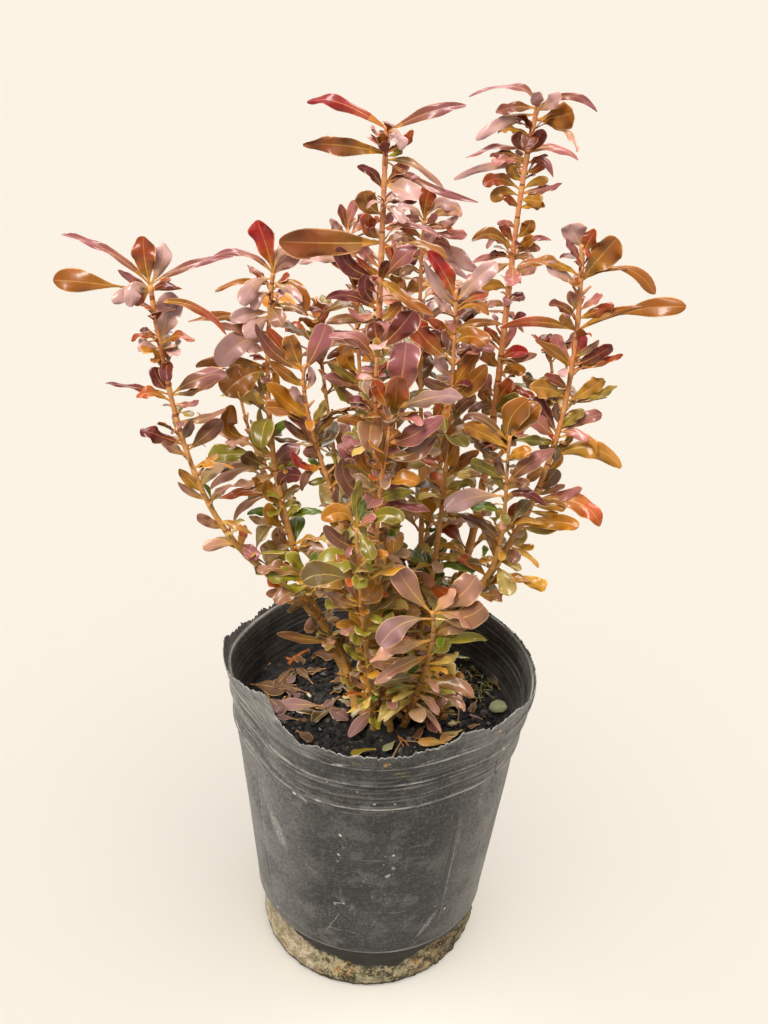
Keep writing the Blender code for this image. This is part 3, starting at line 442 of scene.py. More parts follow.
        # Each rib: a pale crest, partly wear and partly a painted highlight, with a painted shadow line under it.
        base = ribs_of(tree, base, height, azimuth, worn_and_lit, srgb(172, 167, 157), 0.85, 0.45)
    for middle, tall, long, wide, tilt, strength, shade in MARKS:
        up = long * abs(math.sin(math.radians(tilt))) + wide * abs(math.cos(math.radians(tilt))) + 1.5
        if tall + up < low or tall - up > high:
            continue
        inside = span_of(tree, on_wall(middle, tall, long, wide, tilt), 1.0, 0.45)
        inside = maths(tree, "MULTIPLY", inside, maths(tree, "MULTIPLY", span_of(tree, grain, 0.34, 0.56), strength))
        base = mix_of(tree, inside, base, srgb(*shade))
    base = mix_of(tree, maths(tree, "MULTIPLY", span_of(tree, grit, 0.64, 0.70), maths(tree, "MULTIPLY", span_of(tree, patches, 0.48, 0.62), 0.8)), base, srgb(*CHALK_AND_HIGHLIGHT))
    for middle, tall, size, shade in SPECKS:
        if tall + size + 1.5 < low or tall - size - 1.5 > high:
            continue
        base = mix_of(tree, span_of(tree, on_wall(middle, tall, size, size * 0.72, 25.0 * tall), 1.0, 0.8), base, srgb(*shade))
    muddy = None
    if low < FOOT_TOP:
        # A painted shade on the recessed band under the ledge, the ledge's edge pale (partly wear, partly a painted
        # highlight), dried mud on the foot (tan to the left, patchy in the middle, crusty to the right), and a painted
        # shade along the bottom edge.
        # The ledge's edge pale: partly wear, partly a painted highlight.
        off = maths(tree, "ABSOLUTE", maths(tree, "SUBTRACT", height, 0.0243))
        base = mix_of(tree, maths(tree, "MULTIPLY", span_of(tree, off, 0.0011, 0.0003), maths(tree, "ADD", 0.35, maths(tree, "MULTIPLY", worn_and_lit, 0.6))), base, srgb(190, 185, 176))
        # Painted shade: the recessed band just under the ledge is darkened.
        base = mix_of(tree, maths(tree, "MULTIPLY", span_of(tree, height, 0.0238, 0.0228), 0.85), base, srgb(50, 46, 40))
        reach = ramp_of(
            tree,
            maths(tree, "ADD", maths(tree, "DIVIDE", azimuth, 2 * math.pi), 0.5),
            [((a + 180) / 360, (h / 30,) * 3) for a, h in MUD_LINE],
        )
        level_at = maths(tree, "MULTIPLY", reach, 0.030)
        crust = noise_of(tree, coords, 190.0, 5.0, 0.7)
        uneven = maths(tree, "ADD", height, maths(tree, "MULTIPLY", maths(tree, "SUBTRACT", noise_of(tree, coords, 110.0, 6.0, 0.7), 0.5), 0.011))
        muddy = maths(tree, "MULTIPLY", span_of(tree, maths(tree, "SUBTRACT", uneven, level_at), 0.0008, -0.0008), span_of(tree, height, 0.0258, 0.0252))
        middle = maths(tree, "MULTIPLY", span_of(tree, xyz["X"], -0.030, -0.016), span_of(tree, xyz["X"], 0.030, 0.020))
        right = span_of(tree, xyz["X"], 0.014, 0.030)
        clay = mix_of(tree, span_of(tree, crust, 0.38, 0.60), srgb(156, 138, 106), srgb(206, 189, 158))
        mud = mix_of(tree, middle, clay, mix_of(tree, span_of(tree, crust, 0.44, 0.56), srgb(74, 68, 50), srgb(178, 164, 128)))
        mud = mix_of(tree, right, mud, mix_of(tree, span_of(tree, crust, 0.42, 0.58), srgb(80, 68, 46), srgb(176, 152, 112)))
        flecks = noise_of(tree, coords, 160.0, 4.0, 0.65)
        mud = mix_of(tree, maths(tree, "MULTIPLY", span_of(tree, flecks, 0.57, 0.65), 0.6), mud, srgb(178, 134, 76))
        mud = mix_of(tree, maths(tree, "MULTIPLY", span_of(tree, flecks, 0.42, 0.35), 0.6), mud, srgb(120, 116, 70))
        mud = mix_of(tree, maths(tree, "MULTIPLY", span_of(tree, grain, 0.46, 0.36), 0.75), mud, srgb(50, 43, 30))
        mud = mix_of(tree, maths(tree, "MULTIPLY", span_of(tree, grit, 0.58, 0.66), 0.7), mud, srgb(214, 198, 162))
        base = mix_of(tree, maths(tree, "MULTIPLY", muddy, 0.95), base, mud)
        # Painted shade: the lowest few millimetres of the foot, where it curves under onto the floor, are darkened.
        base = mix_of(tree, maths(tree, "MULTIPLY", span_of(tree, height, 0.0034, 0.0016), 0.9), base, srgb(34, 28, 20))
        tree.links.new(maths(tree, "SUBTRACT", 0.42, maths(tree, "MULTIPLY", span_of(tree, height, 0.0243, 0.0232), 0.20)), shader.inputs["Specular IOR Level"])
    tree.links.new(base, shader.inputs["Base Color"])
    rough = tree.nodes.new("ShaderNodeMapRange")
    rough.inputs["To Min"].default_value = 0.32
    rough.inputs["To Max"].default_value = 0.68
    tree.links.new(fine if muddy is None else maths(tree, "MAXIMUM", fine, muddy), rough.inputs["Value"])
    tree.links.new(rough.outputs["Result"], shader.inputs["Roughness"])
    relief = maths(tree, "ADD", maths(tree, "MULTIPLY", broad, 2.0), maths(tree, "ADD", fine, maths(tree, "ADD", maths(tree, "MULTIPLY", upright, 0.4), maths(tree, "MULTIPLY", grain, 0.6))))
    bump_to(tree, shader, relief, 0.55, 0.0011)
    return mat


def inside_material():
    """The inner wall of the pot: black, hardly dusty, with its rib crests pale, partly wear and partly a painted
    highlight, and a painted shadow under each.
    """
    mat, tree, shader = new_material("pot_inside")
    coords, xyz = place_of(tree)
    azimuth = maths(tree, "ARCTAN2", xyz["Y"], xyz["X"])
    broad = noise_of(tree, coords, 60.0, 5.0, 0.65)
    grain = noise_of(tree, coords, 600.0, 4.0, 0.7)
    base = mix_of(tree, span_of(tree, broad, 0.36, 0.66), srgb(54, 53, 52), srgb(102, 100, 97))
    base = mix_of(tree, maths(tree, "MULTIPLY", span_of(tree, grain, 0.55, 0.68), 0.5), base, srgb(*GREYED))
    # The inner wall is greyer just under the rim, above the ribs.
    lip = maths(tree, "MULTIPLY", span_of(tree, xyz["Z"], 0.1462, 0.1480), maths(tree, "ADD", 0.35, maths(tree, "MULTIPLY", span_of(tree, grain, 0.42, 0.60), 0.55)))
    base = mix_of(tree, lip, base, srgb(126, 122, 115))
    worn_and_lit = maths(tree, "ADD", 0.45, maths(tree, "MULTIPLY", span_of(tree, stretched(tree, coords, 150.0, 0.25, 1.0, 3.0), 0.40, 0.62), 0.5))
    # The ribs inside: pale crests, partly wear and partly a painted highlight, with a painted shadow under each.
    base = ribs_of(tree, base, xyz["Z"], azimuth, worn_and_lit, srgb(176, 171, 163), 0.9, 0.45)
    specks = maths(tree, "MULTIPLY", span_of(tree, grain, 0.66, 0.72), span_of(tree, broad, 0.5, 0.6))
    base = mix_of(tree, maths(tree, "MULTIPLY", specks, 0.8), base, srgb(*CHALK_AND_HIGHLIGHT))
    tree.links.new(base, shader.inputs["Base Color"])
    shader.inputs["Roughness"].default_value = 0.48
    bump_to(tree, shader, maths(tree, "ADD", maths(tree, "MULTIPLY", broad, 1.5), grain), 0.5, 0.0010)
    return mat


def torn_material():
    mat, tree, shader = new_material("pot_torn_edge")
    coords, xyz = place_of(tree)
    fine = noise_of(tree, coords, 500.0, 4.0)
    # Paler towards the front and darker towards the back.
    near = span_of(tree, xyz["Y"], 0.020, -0.030)
    light = ramp_of(tree, fine, [(0.3, srgb(112, 109, 104)), (0.55, srgb(168, 165, 158)), (0.75, srgb(222, 220, 214))])
    dark = ramp_of(tree, fine, [(0.3, srgb(40, 39, 37)), (0.58, srgb(84, 82, 78)), (0.72, srgb(178, 174, 166))])
    tree.links.new(mix_of(tree, near, dark, light), shader.inputs["Base Color"])
    shader.inputs["Roughness"].default_value = 0.8
    bump_to(tree, shader, fine, 0.5, 0.0006)
    return mat


def soil_material():
    mat, tree, shader = new_material("soil_black_crumbs")
    coords, _ = place_of(tree)
    grain = noise_of(tree, coords, 240.0, 8.0, 0.7)
    colour = ramp_of(tree, grain, [(0.32, srgb(12, 10, 9)), (0.52, srgb(34, 30, 27)), (0.64, srgb(66, 60, 54)), (0.74, srgb(118, 108, 96))])
    tree.links.new(colour, shader.inputs["Base Color"])
    shader.inputs["Roughness"].default_value = 0.78
    bump_to(tree, shader, grain, 1.0, 0.0018)
    return mat


def bark_material():
    mat, tree, shader = new_material("stem_bark")
    coords, xyz = place_of(tree)
    broad = noise_of(tree, coords, 90.0, 4.0)
    fine = noise_of(tree, coords, 700.0, 4.0)
    rise = maths(tree, "ADD", xyz["Z"], maths(tree, "MULTIPLY", maths(tree, "SUBTRACT", broad, 0.5), 0.05))
    colour = ramp_of(
        tree,
        span_of(tree, rise, 0.12, 0.40),
        [(0.0, srgb(214, 162, 82)), (0.35, srgb(220, 160, 84)), (0.7, srgb(230, 156, 94)), (1.0, srgb(238, 158, 110))],
    )
    colour = mix_of(tree, maths(tree, "MULTIPLY", span_of(tree, fine, 0.48, 0.70), 0.5), colour, srgb(166, 98, 50))
    tree.links.new(colour, shader.inputs["Base Color"])
    shader.inputs["Roughness"].default_value = 0.55
    bump_to(tree, shader, fine, 0.5, 0.0006)
    return mat


def plain_material(name, colour, rough, spread=0.25):
    mat, tree, shader = new_material(name)
    coords, _ = place_of(tree)
    fine = noise_of(tree, coords, 400.0, 4.0)
    dark = tuple(c * (1 - spread) for c in srgb(*colour))
    light = tuple(min(1.0, c * (1 + spread)) for c in srgb(*colour))
    tree.links.new(ramp_of(tree, fine, [(0.3, dark), (0.7, light)]), shader.inputs["Base Color"])
    shader.inputs["Roughness"].default_value = rough
    bump_to(tree, shader, fine, 0.3, 0.0005)
    return mat


POT_INSIDE, POT_TORN = inside_material(), torn_material()
POT_FOOT, POT_WALL, POT_BAND = pot_material("pot_black_foot", -9.0, FOOT_TOP), pot_material("pot_black_plastic", FOOT_TOP, BAND_BOTTOM), pot_material("pot_black_rim", BAND_BOTTOM, 200.0)
SOIL, BARK = soil_material(), bark_material()
NODE_BARK = plain_material("stem_node", (228, 168, 104), 0.5, 0.2)
RING = plain_material("stem_stipule_ring", (158, 88, 46), 0.7, 0.15)


# ------------------------------------------------------------------ mesh building
class Heap:
    """Vertices and faces gathered into one mesh, with a material to each face."""

    def __init__(self):
        self.points, self.faces, self.mats, self.slots, self.count = [], [], [], [], 0

    def slot_of(self, mat):
        if mat not in self.slots:
            self.slots.append(mat)
        return self.slots.index(mat)

    def add(self, points, faces, mats):
        """faces is a list of index tuples, mats one material or one for each face."""
        base = self.count
        self.points.append(np.asarray(points, float))
        self.count += len(points)
        self.faces.extend(tuple(i + base for i in face) for face in faces)
        if isinstance(mats, bpy.types.Material):
            self.mats.extend([self.slot_of(mats)] * len(faces))
        else:
            self.mats.extend(self.slot_of(mat) for mat in mats)

    def build(self, name, smooth=True, sharp=None):
        mesh = bpy.data.meshes.new(name)
        mesh.from_pydata((np.concatenate(self.points) * MM).tolist(), [], self.faces)
        for mat in self.slots:
            mesh.materials.append(mat)
        mesh.polygons.foreach_set("material_index", np.array(self.mats, np.int32))
        mesh.update()
        if smooth:
            mesh.shade_smooth()
            if sharp:
                mesh.set_sharp_from_angle(angle=math.radians(sharp))
        obj = bpy.data.objects.new(name, mesh)
        bpy.context.scene.collection.objects.link(obj)
        return obj


def unit(vectors):
    vectors = np.asarray(vectors, float)
    return vectors / (np.linalg.norm(vectors, axis=-1, keepdims=True) + 1e-12)


def smooth_step(low, high, value):
    t = np.clip((value - low) / (high - low), 0, 1)
    return t * t * (3 - 2 * t)


# ------------------------------------------------------------------ the leaf
class LeafForm:
    """Stations along a leaf, columns across its upper and under side, and the faces between them with the zone of each."""

    def __init__(self, stations, top, under):
        self.s, self.across = np.array(stations), len(top)
        self.columns = np.array(list(top) + list(under))
        ring, rows = len(self.columns), len(self.s)
        self.faces, self.zones = [], []
        for i in range(rows - 1):
            a, b = i * ring, (i + 1) * ring
            along = (self.s[i] + self.s[i + 1]) / 2
            for j in range(ring):
                k = (j + 1) % ring
                # Both sides of the blade bend along the same diagonals, so that they never cross.
                self.faces.append((a + j, a + k, b + k, b + j) if j < self.across - 1 else (a + k, b + k, b + j, a + j))
                self.zones.append(self.zone_of(j, along))
        self.faces.append(tuple(range(ring - 1, -1, -1)))
        self.faces.append(tuple((rows - 1) * ring + j for j in range(ring)))
        self.zones += ["stalk", "edge"]

    def zone_of(self, j, along):
        if j >= self.across - 1:
            return "under"
        if along < 0.14:
            return "stalk"
        if j in (0, self.across - 2):
            return "edge"
        step = str(min(STEPS - 1, max(0, int((along - 0.14) / 0.62 * STEPS))))
        return ("rib_" if abs(self.columns[j] + self.columns[j + 1]) < 0.04 else "blade_") + step


LARGE = LeafForm((0.0, 0.12, 0.25, 0.38, 0.50, 0.62, 0.73, 0.83, 0.92, 0.975, 1.0), (-1.0, -0.92, -0.50, -0.055, 0.055, 0.50, 0.92, 1.0), (0.92, 0.50, 0.0, -0.50, -0.92))
GRAND = LeafForm((0.0, 0.09, 0.17, 0.24, 0.31, 0.38, 0.45, 0.52, 0.59, 0.66, 0.73, 0.80, 0.86, 0.915, 0.955, 0.982, 1.0), (-1.0, -0.92, -0.50, -0.055, 0.055, 0.50, 0.92, 1.0), (0.92, 0.50, 0.0, -0.50, -0.92))
SMALL = LeafForm((0.0, 0.16, 0.34, 0.52, 0.70, 0.86, 0.96, 1.0), (-1.0, -0.87, 0.0, 0.87, 1.0), (0.0,))
FINE = 25


def half_width(s, petiole, widest, blunt, slow=1.55):
    """Spoon-shaped blade that narrows into a winged petiole: half width at s, as a share of the greatest."""
    b = np.clip((s - petiole) / (1 - petiole), 0, 1)
    rising = np.sin(0.5 * np.pi * np.clip(b / widest, 0, 1)) ** slow
    falling = np.clip(1 - np.clip((b - widest) / (1 - widest), 0, 1) ** blunt, 0, 1) ** 0.54
    return np.where(b < widest, 0.06 + 0.94 * rising, falling)


def add_leaf(heap, rule, line, up, width, tint, petiole=0.16, fold=0.12, wave=0.05, blunt=2.3, thick=0.34, twist=0.0, widest=0.66, slow=1.55, grand=False, jag=0.05):
    """A closed leaf along a line of points, with its upper face towards up."""
    long = float(np.sum(np.linalg.norm(np.diff(line, axis=0), axis=1)))
    form = GRAND if grand and long > 9 else LARGE if long > 11.5 else SMALL
    s, fine = form.s, np.linspace(0, 1, len(line))
    line = np.stack([np.interp(s, fine, line[:, c]) for c in range(3)], -1)
    up = np.stack([np.interp(s, fine, up[:, c]) for c in range(3)], -1)
    ways = unit(np.gradient(line, s, axis=0))
    normal = unit(up - ways * np.sum(ways * up, axis=1, keepdims=True))
    side = np.cross(ways, normal)
    if twist:
        turn = twist * s
        c, n = np.cos(turn)[:, None], np.sin(turn)[:, None]
        normal, side = normal * c + side * n, side * c - normal * n
    half = width / 2 * half_width(s, petiole, widest, blunt, slow)
    half = half * (1 + 0.07 * np.sin(2 * np.pi * rule.uniform(1.0, 2.2) * s + rule.uniform(0, 6.28)))
    stalk = np.clip(0.05 * width + 0.28, 0.4, 0.9) * 0.6
    half = np.maximum(half, np.where(s < 0.5, stalk, 0.08 * width))
    depth = thick * (0.55 + 0.9 * smooth_step(petiole + 0.12, 0.0, s)) * smooth_step(1.12, 0.80, s)
    phase = [rule.uniform(0, 6.28), rule.uniform(0, 6.28)]
    beats, lean = rule.uniform(1.2, 2.4) * (1.2 if grand else 1.0), rule.uniform(-0.12, 0.12)
    notch = [(rule.uniform(1.0, 1.9), rule.uniform(0, 6.28), rule.uniform(2.2, 3.4), rule.uniform(0, 6.28)) for _ in (0, 1)]
    puff = rule.uniform(0.03, 0.10)
    curl = rule.uniform(-0.05, 0.30)
    body = smooth_step(petiole, petiole + 0.3, s)
    points = np.empty((len(s), len(form.columns), 3))
    for j, u in enumerate(form.columns):
        slow_beat, slow_at, fast_beat, fast_at = notch[int(u > 0)]
        edge = np.sin(2 * np.pi * slow_beat * s + slow_at) + 0.6 * np.sin(2 * np.pi * fast_beat * s + fast_at)
        broad = half * (1 + lean * (1 if u > 0 else -1) * body + jag * edge * body * u * u)
        ripple = wave * half * np.sin(2 * np.pi * beats * s + phase[int(u > 0)]) * u * u * 1.5
        lift = fold * half * abs(u) * 2.0 + ripple + puff * half * (1 - (2 * abs(u) - 1) ** 2)
        lift = lift - curl * half * body * max(0.0, abs(u) - 0.6) * 2.0
        if j >= form.across:
            lift = lift - depth * (1.5 if u == 0 else 1.0)
        elif abs(u) == 1.0:
            lift = lift - depth * 0.4
        elif abs(u) < 0.1:
            lift = lift - 0.10 * depth
        points[:, j] = line + side * (u * broad)[:, None] + normal * lift[:, None]
    heap.add(points.reshape(-1, 3), form.faces, [LEAF_MATERIALS[tint, zone] for zone in form.zones])


def arched(start, azimuth, rise, length, bend, sway=0.0, late=1.4):
    """A leaf's line: it sets off at an azimuth and rise in radians, and arches over by bend."""
    s = np.linspace(0, 1, FINE)
    climb = rise - bend * s**late
    turn = azimuth + sway * s
    ways = np.stack([np.cos(turn) * np.cos(climb), np.sin(turn) * np.cos(climb), np.sin(climb)], -1)
    steps = np.concatenate([[np.zeros(3)], (ways[1:] + ways[:-1]) / 2 * (length / (FINE - 1))])
    side = np.stack([-np.sin(turn), np.cos(turn), np.zeros_like(turn)], -1)
    return start + np.cumsum(steps, axis=0), np.cross(ways, side)


# ------------------------------------------------------------------ limbs
def hermite(start, off, end, arrive, t):
    t = np.asarray(t, float)[..., None]
    t2, t3 = t * t, t * t * t
    return start * (2 * t3 - 3 * t2 + 1) + off * (t3 - 2 * t2 + t) + end * (3 * t2 - 2 * t3) + arrive * (t3 - t2)


class Limb:
    def __init__(self, name, start, off, end, arrive, thick, thin, rooted):
        self.name, self.rooted, self.thick, self.thin = name, rooted, thick, thin
        self.start, self.off, self.end, self.arrive = (np.array(v, float) for v in (start, off, end, arrive))
        fine = np.linspace(0, 1, 401)
        places = self.at(fine)
        run = np.concatenate([[0], np.cumsum(np.linalg.norm(np.diff(places, axis=0), axis=1))])
        self.fine, self.run, self.length = fine, run, run[-1]
        self.nodes = []

    def at(self, t):
        return hermite(self.start, self.off, self.end, self.arrive, t)

    def t_at(self, distance):
        return float(np.interp(distance, self.run, self.fine))

    def run_at(self, t):
        return float(np.interp(t, self.fine, self.run))

    def radius(self, t):
        t = np.clip(t, 0, 1)
        plain = self.thick + (self.thin - self.thick) * t**0.8
        plain = plain * (0.86 if self.thick > 2.25 else 0.74) * (1 - 0.17 * smooth_step(0.25, 0.85, t))
        if self.rooted:
            plain = plain * (1 + 0.16 * np.exp(-np.maximum(0, self.at(t)[..., 2] - self.start[2]) / 5.0))
        return plain


LIMBS = {}
for name, (foot, tip, off, arrive, thick, thin) in STEMS.items():
    LIMBS[name] = Limb(name, (foot[0], foot[1], SOIL_TOP), off, tip, arrive, thick, thin, True)
for name, (parent, along, tip, off, arrive, thick, thin) in BOUGHS.items():
    LIMBS[name] = Limb(name, LIMBS[parent].at(along), off, tip, arrive, thick, thin, False)


def limb_nodes(limb, rule):
    """Distances along a limb at which it bears leaves, close together near the tip."""
    places, gap, run = [], 5.0, limb.length - 1.5
    while run > limb.length * 0.03 + 3:
        places.append(run)
        run -= gap * rule.choice((0.60, 0.95, 1.10, 1.35))
        gap = min(gap + 1.5, 12.0)
    return places


def make_limb(limb, seed):
    rule = np.random.default_rng(seed)
    rings = max(40, int(limb.length / 0.9))
    sides = 14
    start = -0.02 if limb.rooted else 0.0
    t = np.linspace(start, 1.0, rings)
    places = limb.at(t)
    ways = unit(np.gradient(places, axis=0))
    first = unit(np.cross(ways[0], (0.0, 1.0, 0.0)))
    radius = limb.radius(t)
    run = np.interp(t, limb.fine, limb.run)
    swell = np.zeros(rings)
    ring = np.zeros(rings)
    for place in limb.nodes:
        swell += 0.15 * np.exp(-(((run - place) / 1.7) ** 2)) + 0.07 * np.exp(-(((run - place - 1.4) / 0.8) ** 2))
        ring = np.maximum(ring, np.exp(-(((run - place - 2.2) / 0.5) ** 2)))
    rough = rule.normal(0, 1, (rings, sides))
    rough = (rough + np.roll(rough, 1, 0) + np.roll(rough, -1, 0)) / 3
    points = np.empty((rings, sides, 3))
    a = first
    for i in range(rings):
        a = unit(a - ways[i] * np.dot(a, ways[i]))
        b = np.cross(ways[i], a)
        angle = 2 * np.pi * np.arange(sides) / sides
        fluted = 1 + 0.05 * np.sin(3 * angle + run[i] * 0.05) + 0.05 * rough[i]
        r = radius[i] * (1 + swell[i]) * fluted
        points[i] = places[i] + np.outer(np.cos(angle) * r, a) + np.outer(np.sin(angle) * r, b)
    faces, mats = [], []
    for i in range(rings - 1):
        mat = RING if ring[i] > 0.8 else NODE_BARK if swell[i] > 0.11 else BARK
        for j in range(sides):
            k = (j + 1) % sides
            faces.append((i * sides + j, i * sides + k, (i + 1) * sides + k, (i + 1) * sides + j))
            mats.append(mat)
    faces.append(tuple(range(sides - 1, -1, -1)))
    faces.append(tuple((rings - 1) * sides + j for j in range(sides)))
    mats += [BARK, BARK]
    heap = Heap()
    heap.add(points.reshape(-1, 3), faces, mats)
    obj = heap.build(limb.name + "_bark")
    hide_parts(limb.name)
    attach(obj, "root")
    return obj


def add_twig(heap, line, thick, thin, mat):
    """A short side twig along a line."""
    sides, rings = 7, len(line)
    ways = unit(np.gradient(line, axis=0))
    points = np.empty((rings, sides, 3))
    a = unit(np.cross(ways[0], (0.3, 0.2, 1.0)))
    for i in range(rings):
        a = unit(a - ways[i] * np.dot(a, ways[i]))
        b = np.cross(ways[i], a)
        r = thick + (thin - thick) * i / (rings - 1)
        angle = 2 * np.pi * np.arange(sides) / sides
        points[i] = line[i] + np.outer(np.cos(angle) * r, a) + np.outer(np.sin(angle) * r, b)
    faces = [
        (i * sides + j, i * sides + (j + 1) % sides, (i + 1) * sides + (j + 1) % sides, (i + 1) * sides + j)
        for i in range(rings - 1)
        for j in range(sides)
    ]
    faces.append(tuple(range(sides - 1, -1, -1)))
    faces.append(tuple((rings - 1) * sides + j for j in range(sides)))
    heap.add(points.reshape(-1, 3), faces, mat)


# ------------------------------------------------------------------ single leaves that give the crown its outline
# The view from the front: where it is taken from, its axes, and its scale in pixels of a 768 by 1024 frame.
VIEW_FROM = np.array((0.0, -476.32, 517.72))
VIEW_RIGHT = np.array((0.99778605, 0.03973657, 0.05332921))
VIEW_UP = np.array((-0.06615513, 0.51080918, 0.85714496))
VIEW_AHEAD = np.array((-0.00681895, 0.85877528, -0.51230705))
VIEW_SCALE = 1300.0
